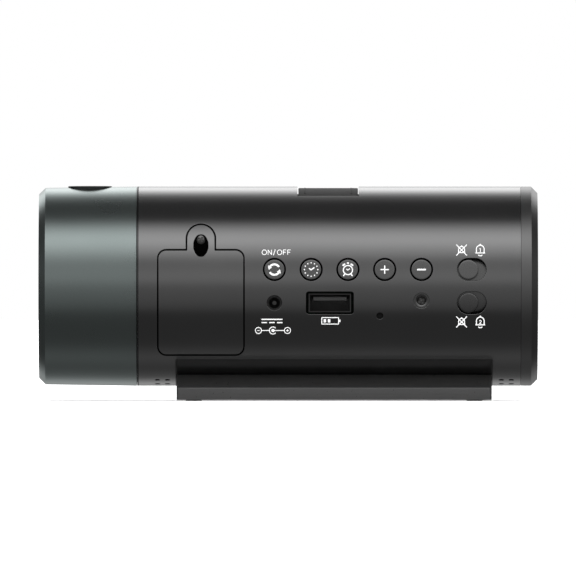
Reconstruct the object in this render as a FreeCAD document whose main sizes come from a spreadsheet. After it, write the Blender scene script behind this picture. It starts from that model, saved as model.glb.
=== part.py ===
import FreeCAD, Part

import math
import os
import re

import Sketcher

# Projection alarm clock: a lying barrel on a low stand, with a projector head that
# turns about the barrel's axis. Millimetres, +Z up. X runs along the barrel, the
# rear with its keys and sockets faces -Y, the display faces +Y, and the origin is
# on the table below the middle of the barrel.

os.makedirs("parts", exist_ok=True)
doc = FreeCAD.newDocument("ProjectionClock")
Vector = FreeCAD.Vector
Rotation = FreeCAD.Rotation

# Driving dimensions, in millimetres and degrees
sizes = {
    # Barrel and its two ends
    "belly_height": 4.6,  # lowest line of the barrel above the table
    "barrel_radius": 31,  # outer radius of the barrel
    "barrel_wall": 2,  # wall of housings, head and end cap
    "barrel_length": 119.15,  # middle part of the barrel
    "head_length": 30.15,  # projector head along the axis
    "head_taper": 0.4,  # the head's outer end is that much smaller in radius
    "head_seam": 0.4,  # open seam between head and barrel
    "seam_lip": 0.25,  # lip of the head that darkens the seam
    "seam_step": 0.6,  # lip below the head's surface
    "cap_length": 5.2,  # end cap along the axis
    "cap_seam": 0.1,  # seam between barrel and end cap
    "end_chamfer": 2,  # chamfer round both outer ends
    "fit_gap": 0.1,  # gap between fixed pieces that fit
    "moving_gap": 0.3,  # gap between pieces that move past each other
    "thread_gap": 0.05,  # gap between a screw's shank and its hole
    # Stand below the barrel
    "stand_offset": 12.15,  # left end of the stand from the barrel's left face
    "stand_length": 98.1,  # stand along X
    "stand_half_width": 22.5,  # half width at the table
    "stand_half_top": 14.5,  # half width of the top face
    "stand_top": 8.1,  # top face above the table
    "stand_shoulder": 4,  # upper edge of the upright rim
    "stand_lift": 0.4,  # rim above the table
    "stand_wall": 2,  # wall of the stand
    "notch_slope": 0.7273,  # rise over run of the cut flanks of the barrel
    "cover_thickness": 1.6,  # plate that closes the stand
    "foot_diameter": 5.1,  # rubber foot
    "foot_height": 1.2,  # rubber foot
    "foot_inset": 5.45,  # foot centre from the stand's edges
    "base_screw_inset": 15,  # stand screws from the stand's ends
    "base_screw_side": 4.2,  # stand screws from the middle plane
    # Rows of keys, sockets and switches on the rear
    "upper_row": 5.15,  # height of keys above the axis
    "lower_row": -5.2,  # height of sockets from the axis
    "key_offset": 42.65,  # first key from the barrel's left face
    "key_pitch": 11.4,  # step from key to key
    "key_hole": 7.1,  # hole for a key
    "key_cap": 6.2,  # key cap
    "key_flange": 8.2,  # flange behind the wall
    "key_travel": 0.5,  # key travel
    "key_recess": 0.1,  # key face below the barrel's surface
    "flange_thickness": 0.8,  # flange of keys and knobs
    "stem_diameter": 2.4,  # stem of a key
    "knob_offset": 103.85,  # middle of the knob slots from the left face
    "knob_slot": 9.1,  # length of a knob slot
    "knob_slot_height": 7,  # height of a knob slot
    "knob_diameter": 6.1,  # slide knob
    "knob_travel": 2.1,  # slide knob travel
    "reset_offset": 75.35,  # pinhole from the left face
    "reset_height": -9.2,  # pinhole from the axis
    "reset_hole": 2,  # pinhole
    "reset_travel": 0.3,  # reset plunger travel
    "reset_guide_length": 4,  # tube that guides the plunger
    "reset_sink": 1,  # plunger behind the key flanges
    # Sockets
    "inlet_hole": 4.6,  # hole for the power inlet
    "inlet_body": 9,  # square body of the power inlet
    "inlet_bore": 3.5,  # bore of the power inlet
    "inlet_pin": 1.3,  # centre pin of the power inlet
    "charge_offset": 59.85,  # charging socket from the left face
    "charge_width": 12.5,  # opening of the charging socket
    "charge_height": 5.12,  # opening of the charging socket
    "charge_shell": 0.3,  # sheet metal of the charging socket
    "charge_cutout_gap": 0.8,  # gap between socket and cut-out
    "tongue_thickness": 1.84,  # tongue in the charging socket
    "tongue_rise": 1.4,  # tongue above the socket's middle
    "tongue_side_gap": 0.7,  # tongue to the shell's sides
    "tongue_sink": 1.2,  # tongue behind the socket's mouth
    "charge_back": 3,  # closed rear of the socket
    "inlet_back": 1,  # closed rear of the inlet
    # Screws
    "case_screw_height": -4.5,  # visible case screw from the axis
    "case_recess": 4.75,  # recess of the case screw
    "case_head": 3.4,  # head of a case screw
    "case_shank": 2.5,  # shank of a case screw
    "small_head": 4,  # head of a small screw
    "small_shank": 1.9,  # shank of a small screw
    "tiny_head": 2.8,  # head of a tiny screw
    "tiny_shank": 1.5,  # shank of a tiny screw
    "head_thickness": 1.4,  # height of a screw head
    "screw_grip": 5,  # thread in the plastic
    "tiny_grip": 4,  # thread of a tiny screw
    "boss_wall": 1.6,  # wall of a screw boss
    # Battery door and cell bay
    "door_offset": 19.85,  # middle of the door from the left face
    "door_width": 26.4,  # battery door
    "door_top": 11.1,  # upper edge from the axis
    "door_bottom": -21.2,  # lower edge from the axis
    "door_corner": 2.5,  # corner radius
    "door_gap": 0.35,  # gap round the door
    "door_thickness": 1.7,  # door
    "tab_width": 8.6,  # screw tab above the door
    "tab_top": 19.1,  # top of the screw tab from the axis
    "screw_pocket_width": 4.7,  # pocket for the door screw
    "screw_pocket_height": 7,  # pocket for the door screw
    "screw_pocket_middle": 12.6,  # middle of the pocket from the axis
    "screw_pocket_sink": 1.5,  # floor of the pocket behind the barrel's surface at its top
    "pocket_wall": 1.2,  # wall of the pocket
    "door_screw_rise": 1.8,  # door screw above the middle of its pocket
    "door_boss_length": 8,  # boss behind the door screw
    "cell_radius": 10,  # coin cell
    "cell_thickness": 3.2,  # coin cell
    "cell_height": -5.2,  # middle of the cell from the axis
    "cell_clearance": 0.4,  # cell to door
    "contact_thickness": 0.3,  # contact springs
    "bay_wall": 1.2,  # walls of the cell bay
    "bay_lip": 1.5,  # ledge under the door's edge
    "bay_rim": 2.3,  # bay wall outside the door's edge
    # Snooze key
    "snooze_offset": 59.35,  # middle of the snooze key from the left face
    "snooze_length": 18.5,  # snooze key along X
    "snooze_half_chord": 12.9,  # half width across
    "snooze_recess": 0.45,  # key below the barrel's surface
    "snooze_depth": 3.35,  # thickness of the key
    "snooze_travel": 0.8,  # snooze key travel
    "snooze_lug": 1.25,  # lug that holds the key in
    "snooze_stem": 4,  # stem of the snooze key
    "snooze_shelf": 16,  # shelf top above the axis
    # Window and display
    "window_margin": 6.5,  # window from the barrel's ends
    "window_half_height": 19,  # half height of the window
    "window_flange": 1.5,  # hidden flange round the window
    "window_flange_thickness": 1,  # hidden flange round the window
    "display_gap": 1.2,  # display module to window
    "carrier_thickness": 2,  # carrier plate
    "display_stand_off": 3,  # posts between carrier and display board
    "display_length": 88,  # display module
    "display_half_height": 13,  # display module
    "display_depth": 9,  # display module
    "board_thickness": 1.6,  # circuit boards
    # Control board
    "board_setback": 10.65,  # board behind the key flanges
    "board_offset": 37,  # board from the barrel's left face
    "board_length": 74.5,  # control board
    "board_half_height": 16,  # control board
    "board_screw_inset": 3,  # board screws from the board's edges
    "tact_size": 6,  # push switch
    "tact_height": 3.5,  # push switch
    "actuator_radius": 1.6,  # button of a push switch
    "actuator_height": 0.9,  # button of a push switch
    "press_gap": 0.1,  # gap left when a key is pressed home
    "slide_body_length": 12,  # slide switch
    "slide_body_height": 6,  # slide switch
    "slide_lever": 2,  # lever of a slide switch
    "chip_side": 12,  # processor on the board
    "chip_height": 1.6,  # processor on the board
    "coil_side": 6,  # coil on the board
    "coil_height": 5,  # coil on the board
    # Vents
    "vent_hole": 1.6,  # vent hole
    "vent_inset_left": 7.87,  # vent field from the left face
    "vent_inset_right": 4.4,  # vent field from the right face
    "vent_step": 3.1,  # step between columns
    "vent_row": 4.2,  # step between rows
    # Bearing of the head
    "groove_setback": 1,  # bearing plate from the barrel's left face
    "groove_depth": 0.8,  # groove for the bearing plate's rim
    "plate_thickness": 3,  # bearing plate
    "journal_radius": 8.9,  # hollow journal of the head
    "journal_bore": 5.5,  # bore for the lead
    "hub_disc": 2,  # disc of the hub
    "washer_thickness": 0.9,  # friction washer
    "retainer_radius": 12,  # retaining ring
    "retainer_thickness": 1.6,  # retaining ring
    "retainer_screw_circle": 7.2,  # screws of the retaining ring
    # Projector
    "lens_shift": 0.775,  # lens from the middle of the head, towards the barrel
    "lens_proud": 0.15,  # lens ring above the barrel's radius
    "bezel_radius": 6.85,  # lens ring
    "bezel_flange": 8.2,  # flange of the lens ring
    "bezel_flange_thickness": 1.2,  # flange of the lens ring
    "bezel_bore": 5.2,  # bore of the lens ring
    "bezel_seat": 4.4,  # seat of the lens
    "lens_opening_gap": 0.3,  # gap round the lens ring
    "lens_thickness": 2.6,  # projection lens at its middle
    "lens_crown": 0.5,  # crown of the projection lens
    "tube_radius": 5.6,  # lens tube
    "tube_wall": 1,  # lens tube
    "tube_flange": 8,  # foot of the lens tube
    "inner_lens_height": 13,  # inner lens above the axis
    "frame_top": 8,  # projector frame above the axis
    "frame_bottom": -3,  # projector frame from the axis
    "frame_half_width": 10,  # projector frame
    "frame_bore": 6.3,  # light shaft in the frame
    "frame_flange": 2.5,  # plate that fastens the frame to the hub
    "frame_flange_half": 16,  # plate that fastens the frame to the hub
    "valve_half_width": 7,  # picture glass
    "valve_height": 4.6,  # picture glass above the axis
    "valve_thickness": 1.4,  # picture glass
    "condenser_thickness": 3.4,  # condenser lens
    "lamp_size": 3.5,  # light emitting diode
    "lamp_height": 2,  # light emitting diode
    "sink_gap": 0.8,  # heat sink to the plate of the frame
    "sink_height": 8,  # heat sink
    "sink_fin": 1.2,  # fins of the heat sink
    "plug_size": 5.6,  # plug of the lead
    "lead_radius": 1.4,  # lead to the projector
    "buzzer_radius": 11,  # buzzer
    "buzzer_depth": 5.2,  # buzzer
    "buzzer_ring": 1.4,  # ring that holds the buzzer
    "spigot": 1.8,  # collar of the end cap inside the barrel
    "spigot_wall": 1.5,  # collar of the end cap
}

sheet = doc.addObject("Spreadsheet::Sheet", "Sizes")
for line, (name, value) in enumerate(sizes.items(), start=1):
    sheet.set("A%d" % line, name)
    sheet.set("B%d" % line, str(value))
    sheet.setAlias("B%d" % line, name)

# Places that follow from the sizes, as formulas for the sheet
left_end = "(-(head_length + head_seam + barrel_length + cap_seam + cap_length) / 2)"
head_right = "(%s + head_length)" % left_end
barrel_left = "(%s + head_seam)" % head_right
barrel_right = "(%s + barrel_length)" % barrel_left
cap_left = "(%s + cap_seam)" % barrel_right
inner_radius = "(barrel_radius - barrel_wall)"
stand_left = "(%s + stand_offset)" % barrel_left
stand_right = "(%s + stand_length)" % stand_left
stand_middle = "(%s + stand_length / 2)" % stand_left
door_x = "(%s + door_offset)" % barrel_left
charge_x = "(%s + charge_offset)" % barrel_left
reset_x = "(%s + reset_offset)" % barrel_left
slot_x = "(%s + knob_offset)" % barrel_left
snooze_x = "(%s + snooze_offset)" % barrel_left
lens_x = "(%s + head_length / 2 + lens_shift)" % left_end
board_left = "(%s + board_offset)" % barrel_left
board_right = "(%s + board_length)" % board_left
window_left = "(%s + window_margin)" % barrel_left
window_right = "(%s - window_margin)" % barrel_right
display_x = "((%s + %s) / 2)" % (window_left, window_right)
key_x = ["(%s + key_offset + %d * key_pitch)" % (barrel_left, place) for place in range(5)]
first_key_x, last_key_x = key_x[0], key_x[-1]
flange_face = "(sqrt(%s^2 - (upper_row + key_flange / 2)^2) - moving_gap)" % inner_radius
flange_back = "(%s - flange_thickness)" % flange_face
board_rear = "(%s - board_setback)" % flange_face
board_front = "(%s - board_thickness)" % board_rear
tact_top = "(%s + tact_height + actuator_height)" % board_rear
door_inner = "(barrel_radius - door_thickness)"
cell_face = "(sqrt(%s^2 - (cell_height - cell_radius)^2) - cell_clearance)" % door_inner
cell_back = "(%s - cell_thickness)" % cell_face
bay_floor = "(%s - contact_thickness)" % cell_back
bay_back = "(%s - bay_wall)" % bay_floor
bay_screw_x = "(%s - door_width / 3)" % door_x
bay_screw_height = "(cell_height - 1.15 * cell_radius)"
display_back = "(display_front - display_depth - board_thickness)"
carrier_front = "(carrier_back + carrier_thickness)"
plate_left = "(%s + groove_setback)" % barrel_left
plate_right = "(%s + plate_thickness)" % plate_left
washer_right = "(%s + fit_gap + washer_thickness)" % plate_right
retainer_right = "(%s + retainer_thickness)" % washer_right
hub_left = "(%s - hub_disc)" % head_right
bezel_shoulder = "(sqrt((head_tip_radius - barrel_wall)^2 - bezel_flange^2) - fit_gap)"
bezel_bottom = "(%s - bezel_flange_thickness)" % bezel_shoulder
lamp_half = "(%s - frame_flange - sink_gap - %s)" % (hub_left, lens_x)
bay_top = "(screw_pocket_middle - screw_pocket_height / 2 - pocket_wall - moving_gap - bay_wall)"
case_recess_floor = "(barrel_radius - barrel_wall * 2)"
beyond = "(2 * barrel_radius)"
turns = {"x": Rotation(Vector(0, 1, 0), 90), "y": Rotation(Vector(1, 0, 0), -90), "z": Rotation()}
parts = []
places = {
    "axis_height": "barrel_radius + belly_height",
    "head_tip_radius": "barrel_radius - head_taper",
    "window_inner": "barrel_radius - barrel_wall - window_flange_thickness",
    "display_front": "sqrt(window_inner^2 - display_half_height^2) - display_gap",
    "carrier_back": "display_front - display_depth - board_thickness - display_stand_off - carrier_thickness",
    "pocket_top": "screw_pocket_middle + screw_pocket_height / 2",
    "pocket_floor": "sqrt(barrel_radius^2 - pocket_top^2) - screw_pocket_sink",
    "door_screw_height": "screw_pocket_middle + door_screw_rise",
}


def spell_out(text):
    """Replace the names in a formula by the sheet's cells."""
    def word(match):
        if match[0] in places:
            return "(%s)" % spell_out(places[match[0]])
        return "Sizes." + match[0] if match[0] in sizes else match[0]
    return re.sub("[a-z_]+", word, text)


def bind(item, field, text):
    """Bind a property to a formula whose words are names on the sheet."""
    item.setExpression(field, spell_out(text))


def above(text):
    """Height above the table of something given from the barrel's axis."""
    return "(axis_height + (%s))" % text


def put(item, x, y, z, along="z"):
    """Turn an item's own Z to one of the main directions and bind its place."""
    item.Placement = FreeCAD.Placement(Vector(), turns[along])
    for axis, text in (("x", x), ("y", y), ("z", z)):
        bind(item, "Placement.Base." + axis, text)
    return item


def block(name, x, y, z):
    """Box between (low, high) formulas on each axis."""
    item = doc.addObject("Part::Box", name)
    for side, (low, high) in (("Length", x), ("Width", y), ("Height", z)):
        bind(item, side, "(%s) - (%s)" % (high, low))
    return put(item, x[0], y[0], z[0])


def around(middle, half):
    """Low and high formulas at both sides of a middle."""
    return ("(%s) - (%s)" % (middle, half), "(%s) + (%s)" % (middle, half))


def rod(name, along, radius, low, high, first, second):
    """Cylinder along an axis, with its middle at the two other coordinates in order."""
    item = doc.addObject("Part::Cylinder", name)
    bind(item, "Radius", radius)
    bind(item, "Height", "(%s) - (%s)" % (high, low))
    spot = {"x": (low, first, second), "y": (first, low, second), "z": (first, second, low)}[along]
    return put(item, *spot, along=along)


def join(name, *pieces):
    item = doc.addObject("Part::MultiFuse", name)
    item.Shapes = list(pieces)
    return item


def cut(name, base, *tools):
    item = doc.addObject("Part::Cut", name)
    item.Base = base
    item.Tool = tools[0] if len(tools) == 1 else join(name + "_tools", *tools)
    return item


def overlap(name, *pieces):
    item = doc.addObject("Part::MultiCommon", name)
    item.Shapes = list(pieces)
    return item


def group(name, *pieces):
    """Separate like solids that share a node."""
    item = doc.addObject("Part::Compound", name)
    item.Links = list(pieces)
    return item


def part(item):
    """Mark an item as a finished sub-part under its own label."""
    parts.append(item)
    return item


def outline(body, role, corners):
    """Sketch of straight edges on an origin plane, each corner bound to two formulas."""
    plane = [face for face in body.Origin.OriginFeatures if face.Role == role][0]
    sketch = body.newObject("Sketcher::SketchObject", body.Name + "_outline")
    sketch.AttachmentSupport = [(plane, "")]
    sketch.MapMode = "FlatFace"
    count = len(corners)
    start = [Vector(math.cos(math.tau * i / count), math.sin(math.tau * i / count), 0) for i in range(count)]
    for i in range(count):
        sketch.addGeometry(Part.LineSegment(start[i], start[(i + 1) % count]))
    for i in range(count):
        sketch.addConstraint(Sketcher.Constraint("Coincident", i, 2, (i + 1) % count, 1))
    for i, corner in enumerate(corners):
        for kind, text, guess in zip(("DistanceX", "DistanceY"), corner, start[i]):
            number = sketch.addConstraint(Sketcher.Constraint(kind, i, 1, guess))
            bind(sketch, "Constraints[%d]" % number, text)
    return sketch


def turned(name, profile, along, x, y, z):
    """Body of revolution from a profile of (radius, distance) corners."""
    body = doc.addObject("PartDesign::Body", name)
    sketch = outline(body, "XZ_Plane", profile)
    revolution = body.newObject("PartDesign::Revolution", name + "_turned")
    revolution.Profile = sketch
    revolution.ReferenceAxis = (sketch, ["V_Axis"])
    revolution.Angle = 360
    return put(body, x, y, z, along)


def padded(name, section, left, right):
    """Body with one (y, z) section all along X."""
    body = doc.addObject("PartDesign::Body", name)
    sketch = outline(body, "YZ_Plane", section)
    pad = body.newObject("PartDesign::Pad", name + "_pad")
    pad.Profile = sketch
    bind(pad, "Length", "(%s) - (%s)" % (right, left))
    return put(body, left, "0", "0")


def slot(name, x, z, width, height, low, high):
    """Obround prism along Y, rounded at its two narrow ends, longer side along X."""
    side = "((%s) - (%s)) / 2" % (width, height)
    half = "(%s) / 2" % height
    return join(name,
                block(name + "_middle", around(x, side), (low, high), around(z, half)),
                rod(name + "_left", "y", half, low, high, "(%s) - (%s)" % (x, side), z),
                rod(name + "_right", "y", half, low, high, "(%s) + (%s)" % (x, side), z))


def tall_slot(name, x, z, width, height, low, high):
    """Obround prism along Y, longer side upright."""
    side = "((%s) - (%s)) / 2" % (height, width)
    half = "(%s) / 2" % width
    return join(name,
                block(name + "_middle", around(x, half), (low, high), around(z, side)),
                rod(name + "_lower", "y", half, low, high, x, "(%s) - (%s)" % (z, side)),
                rod(name + "_upper", "y", half, low, high, x, "(%s) + (%s)" % (z, side)))


def rounded_block(name, x, z, radius, low, high):
    """Prism along Y over a rectangle with round corners."""
    inner_x = ("(%s) + (%s)" % (x[0], radius), "(%s) - (%s)" % (x[1], radius))
    inner_z = ("(%s) + (%s)" % (z[0], radius), "(%s) - (%s)" % (z[1], radius))
    corners = [rod("%s_corner%d%d" % (name, i, k), "y", radius, low, high, inner_x[i], inner_z[k])
               for i in range(2) for k in range(2)]
    return join(name, block(name + "_wide", x, (low, high), inner_z),
                block(name + "_tall", inner_x, (low, high), z), *corners)


def screw(name, along, x, y, z, head, shank, length, inward=1):
    """Pan-head screw with the underside of its head at (x, y, z), pointing along an axis."""
    profile = [("0", "%d * -head_thickness" % inward), ("(%s) / 2" % head, "%d * -head_thickness" % inward),
               ("(%s) / 2" % head, "0"), ("(%s) / 2" % shank, "0"),
               ("(%s) / 2" % shank, "%d * (%s)" % (inward, length)), ("0", "%d * (%s)" % (inward, length))]
    return turned(name, profile, along, x, y, z)


# Barrel blank: a tube with a notch below for the stand, and the lining that joins
# bosses and ribs to the wall.
def notch(name, wall, left, right):
    """Space below the barrel that the stand takes, grown inwards by a wall."""
    floor = "stand_top + %s" % wall
    half = "stand_half_top + %s * (1 - sqrt(1 + notch_slope^2)) / notch_slope" % wall
    rise = "%s + notch_slope * (barrel_radius - (%s))" % (floor, half)
    section = [("-barrel_radius", "-barrel_radius"), ("barrel_radius", "-barrel_radius"),
               ("barrel_radius", rise), (half, floor), ("-(%s)" % half, floor), ("-barrel_radius", rise)]
    return padded(name, section, left, right)


def barrel_space(name, radius, wall, left, right):
    """Inside of the barrel down to a given radius and a given wall above the notch."""
    return cut(name, rod(name + "_round", "x", radius, left, right, "0", "axis_height"),
               notch(name + "_notch", wall, "%s - %s" % (stand_left, wall), "%s + %s" % (stand_right, wall)))


def shell_between(name, outer, inner, left, right):
    """Tube about the barrel's axis."""
    return cut(name, rod(name + "_outer", "x", outer, left, right, "0", "axis_height"),
               rod(name + "_inner", "x", inner, "%s - 1" % left, "%s + 1" % right, "0", "axis_height"))


outside = barrel_space("outside", "barrel_radius", "0", barrel_left, barrel_right)
inside = barrel_space("inside", inner_radius, "barrel_wall", "%s - 1" % barrel_left, "%s + 1" % barrel_right)
lining = barrel_space("lining", "(%s + barrel_wall / 4)" % inner_radius, "barrel_wall * 0.75",
                      barrel_left, barrel_right)
tube = cut("tube", outside, inside)
full_x = ("%s - 1" % barrel_left, "%s + 1" % barrel_right)
full_z = ("-1", above(beyond))
rear_half = block("rear_half", full_x, ("-" + beyond, "0"), full_z)
front_half = block("front_half", full_x, ("0", beyond), full_z)
surface = rod("surface", "x", "barrel_radius", barrel_left, barrel_right, "0", "axis_height")
groove = shell_between("groove", "(%s + groove_depth + fit_gap)" % inner_radius,
                       "(%s - 1)" % inner_radius, "%s - fit_gap / 2" % plate_left,
                       "%s + fit_gap / 2" % plate_right)
snooze_opening = block("snooze_opening", around(snooze_x, "snooze_length / 2 + moving_gap"),
                       around("0", "snooze_half_chord + moving_gap"),
                       (above("%s / 2" % inner_radius), above(beyond)))
vents = []
for side, field in enumerate(("%s + vent_inset_left" % barrel_left, "%s - vent_inset_right" % barrel_right)):
    for column in (-0.5, 0.5):
        for row in (-2.5, -1.5, -0.5, 0.5, 1.5, 2.5):
            vents.append(rod("vent", "z", "vent_hole / 2", "0", "axis_height - barrel_radius / 2",
                             "%s + %s * vent_step" % (field, column), "%s * vent_row" % row))
stand_screw_x = ("%s + base_screw_inset" % stand_left, "%s - base_screw_inset" % stand_right)


def stand_bosses(name, side):
    """Posts in the floor of one housing that take the stand's screws."""
    return [rod(name, "z", "small_shank / 2 + boss_wall", "stand_top + barrel_wall / 2", "2 * stand_top",
                x, "%d * base_screw_side" % side) for x in stand_screw_x]


def stand_screw_holes(name, side):
    return [rod(name, "z", "small_shank / 2 + thread_gap", "stand_top - 1", "2 * stand_top + 1",
                x, "%d * base_screw_side" % side) for x in stand_screw_x]


# Rear housing: keys, sockets, switches and the cell bay are in this half
case_screws_at = [(last_key_x, "case_screw_height", case_recess_floor),
                  (bay_screw_x, bay_screw_height, "(%s - head_thickness)" % bay_floor)]
board_screws_at = [(x, z) for x in ("%s + board_screw_inset" % board_left, "%s - board_screw_inset" % board_right)
                   for z in ("board_screw_inset - board_half_height", "board_half_height - board_screw_inset")]
column = "(case_recess / 2 + boss_wall)"
far_rear = "-(barrel_radius + 5)"
fittings = stand_bosses("rear_stand_boss", -1)
for x, z, floor in case_screws_at:
    fittings.append(rod("case_column", "y", column, "-barrel_radius", "-moving_gap", x, above(z)))
for x, z in board_screws_at:
    fittings.append(rod("board_boss", "y", "small_shank / 2 + boss_wall", "-barrel_radius", "-" + board_rear,
                        x, above(z)))
bay_x = around(door_x, "door_width / 2 + bay_rim")
fittings.append(block("bay_block", bay_x, ("-barrel_radius", "-" + bay_back),
                      (above("door_bottom - bay_rim"), above(bay_top + " + bay_wall"))))
door_boss_face = "(pocket_floor - pocket_wall - moving_gap)"
door_boss_end = "(%s - door_boss_length)" % door_boss_face
fittings.append(rod("door_boss", "y", "small_shank / 2 + boss_wall", "-" + door_boss_face, "-" + door_boss_end,
                    door_x, above("door_screw_height")))
fittings.append(block("door_boss_rib", around(door_x, "boss_wall"), ("-" + door_boss_face, "-" + door_boss_end),
                      (above("door_screw_height"), above("barrel_radius"))))
guide_end = "(%s - reset_guide_length)" % flange_face
fittings.append(rod("reset_guide", "y", "reset_hole / 2 + boss_wall / 2", "-barrel_radius", "-" + guide_end,
                    reset_x, above("reset_height")))
rear_fittings = overlap("rear_fittings", join("rear_fittings_all", *fittings), lining)


def door_outline(name, gap, low, high):
    """Prism over the door and its screw tab, grown by a gap."""
    wide = "door_width / 2 + %s" % gap
    tab = "tab_width / 2 + %s" % gap
    return join(name,
                rounded_block(name + "_plate", around(door_x, wide),
                              (above("door_bottom - %s" % gap), above("door_top + %s" % gap)),
                              "door_corner + %s" % gap, low, high),
                block(name + "_tab", around(door_x, tab), (low, high),
                      (above("0"), above("tab_top - tab_width / 2"))),
                rod(name + "_tab_end", "y", tab, low, high, door_x, above("tab_top - tab_width / 2")))


door_hole = cut("door_hole", door_outline("door_hole_outline", "door_gap", far_rear, "-door_corner"),
                rod("door_hole_core", "x", inner_radius, barrel_left, barrel_right, "0", "axis_height"))
bay_hollow = block("bay_hollow", around(door_x, "door_width / 2 - bay_lip"), (far_rear, "-" + bay_floor),
                   (above("door_bottom + bay_lip"), above(bay_top)))
ring_top = "(%s + cell_thickness / 2)" % cell_back
cell_ring = cut("cell_ring",
                rod("cell_ring_outer", "y", "cell_radius + fit_gap * 2 + bay_wall", "-" + ring_top,
                    "-(%s - bay_wall / 2)" % bay_floor, door_x, above("cell_height")),
                rod("cell_ring_inner", "y", "cell_radius + fit_gap * 2", far_rear, "-" + bay_floor,
                    door_x, above("cell_height")),
                block("cell_ring_gap", around(door_x, "tab_width / 3"), (far_rear, "-" + bay_floor),
                      (above("cell_height"), above(bay_top))))

holes = [door_hole]
for place, x in enumerate(key_x):
    holes.append(rod("key_hole%d" % place, "y", "key_hole / 2", far_rear, "-" + flange_face, x, above("upper_row")))
holes.append(rod("inlet_opening", "y", "inlet_hole / 2", far_rear, "-" + flange_face,
                 first_key_x, above("lower_row")))
holes.append(rounded_block("charge_opening", around(charge_x, "charge_width / 2 + charge_shell + charge_cutout_gap"),
                           (above("lower_row - charge_height / 2 - charge_shell - charge_cutout_gap * 0.75"),
                            above("lower_row + charge_height / 2 + charge_shell + charge_cutout_gap * 0.75")),
                           "charge_cutout_gap", far_rear, "-" + flange_face))
holes.append(rod("pinhole", "y", "reset_hole / 2", far_rear, "-" + guide_end, reset_x, above("reset_height")))
for row in ("upper_row", "lower_row"):
    holes.append(slot("slot_" + row, slot_x, above(row), "knob_slot", "knob_slot_height", far_rear,
                      "-" + flange_face))
holes.append(rod("case_recess", "y", "case_recess / 2", far_rear, "-" + case_recess_floor,
                 last_key_x, above("case_screw_height")))
holes.append(rod("bay_recess", "y", "case_recess / 2", "-" + bay_floor + " - 1",
                 "-(%s - head_thickness)" % bay_floor, bay_screw_x, above(bay_screw_height)))
for x, z, floor in case_screws_at:
    holes.append(rod("case_hole", "y", "case_shank / 2 + fit_gap", far_rear, "0", x, above(z)))
for x, z in board_screws_at:
    holes.append(rod("board_hole", "y", "small_shank / 2 + thread_gap", "-%s - screw_grip * 1.3" % board_rear, "0",
                     x, above(z)))
holes.append(rod("door_screw_hole", "y", "small_shank / 2 + thread_gap", "-(%s + 1)" % door_boss_face,
                 "0", door_x, above("door_screw_height")))
holes += stand_screw_holes("rear_stand_hole", -1)
rear_solid = join("rear_solid", overlap("rear_tube", tube, rear_half), rear_fittings)
rear_bay = join("rear_bay", cut("rear_hollowed", rear_solid, bay_hollow), cell_ring)
part(cut("rear_housing", rear_bay, groove, snooze_opening, *holes, *vents))

# Front housing: the half with the window
window_x = (window_left, window_right)
window_z = (above("-window_half_height"), above("window_half_height"))
window_opening = block("window_opening", window_x, ("0", beyond), window_z)
front_fittings = overlap("front_fittings", join("front_fittings_all", *stand_bosses("front_stand_boss", 1)), lining)
front_solid = join("front_solid", overlap("front_tube", tube, front_half), front_fittings)
part(cut("front_housing", front_solid, groove, snooze_opening, window_opening,
         *stand_screw_holes("front_stand_hole", 1), *vents))

# Curved window with a hidden flange behind the housing
pane = overlap("pane", block("pane_block", ("%s + fit_gap" % window_left, "%s - fit_gap" % window_right),
                             ("0", beyond), (above("fit_gap - window_half_height"),
                                             above("window_half_height - fit_gap"))),
               shell_between("pane_shell", "barrel_radius", "(%s - window_flange_thickness)" % inner_radius,
                             barrel_left, barrel_right))
pane_flange = overlap("pane_flange",
                      block("pane_flange_block", ("%s - window_flange" % window_left,
                                                  "%s + window_flange" % window_right), ("0", beyond),
                            (above("-window_half_height - window_flange"),
                             above("window_half_height + window_flange"))),
                      shell_between("pane_flange_shell", "(%s - fit_gap / 2)" % inner_radius,
                                    "(%s - window_flange_thickness)" % inner_radius, barrel_left, barrel_right))
part(join("display_window", pane, pane_flange))

# End cap: a turned cover with a collar inside the barrel and a ring for the buzzer
collar = "(%s - fit_gap)" % inner_radius
cap_inner = "(cap_length - barrel_wall)"
ring_start = "(%s - buzzer_depth)" % cap_inner
part(turned("end_cap", [("0", "cap_length"), ("barrel_radius - end_chamfer", "cap_length"),
                        ("barrel_radius", "cap_length - end_chamfer"), ("barrel_radius", "0"), (collar, "0"),
                        (collar, "-spigot"), ("%s - spigot_wall" % collar, "-spigot"), ("%s - spigot_wall" % collar, cap_inner),
                        ("buzzer_radius + fit_gap + buzzer_ring", cap_inner),
                        ("buzzer_radius + fit_gap + buzzer_ring", ring_start),
                        ("buzzer_radius + fit_gap", ring_start), ("buzzer_radius + fit_gap", cap_inner),
                        ("0", cap_inner)], "x", cap_left, "0", "axis_height"))
part(turned("buzzer", [("buzzer_radius / 6", ring_start), ("buzzer_radius", ring_start),
                       ("buzzer_radius", cap_inner), ("0", cap_inner), ("0", "(%s) + 1" % ring_start),
                       ("buzzer_radius / 6", "(%s) + 1" % ring_start)],
            "x", cap_left, "0", "axis_height"))

# Bearing plate that carries the head, held in the groove between the two housings
part(turned("bearing_plate", [("journal_radius + fit_gap", "0"), ("%s + groove_depth" % inner_radius, "0"),
                              ("%s + groove_depth" % inner_radius, "plate_thickness"),
                              ("journal_radius + fit_gap", "plate_thickness")],
            "x", plate_left, "0", "axis_height"))

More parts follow.
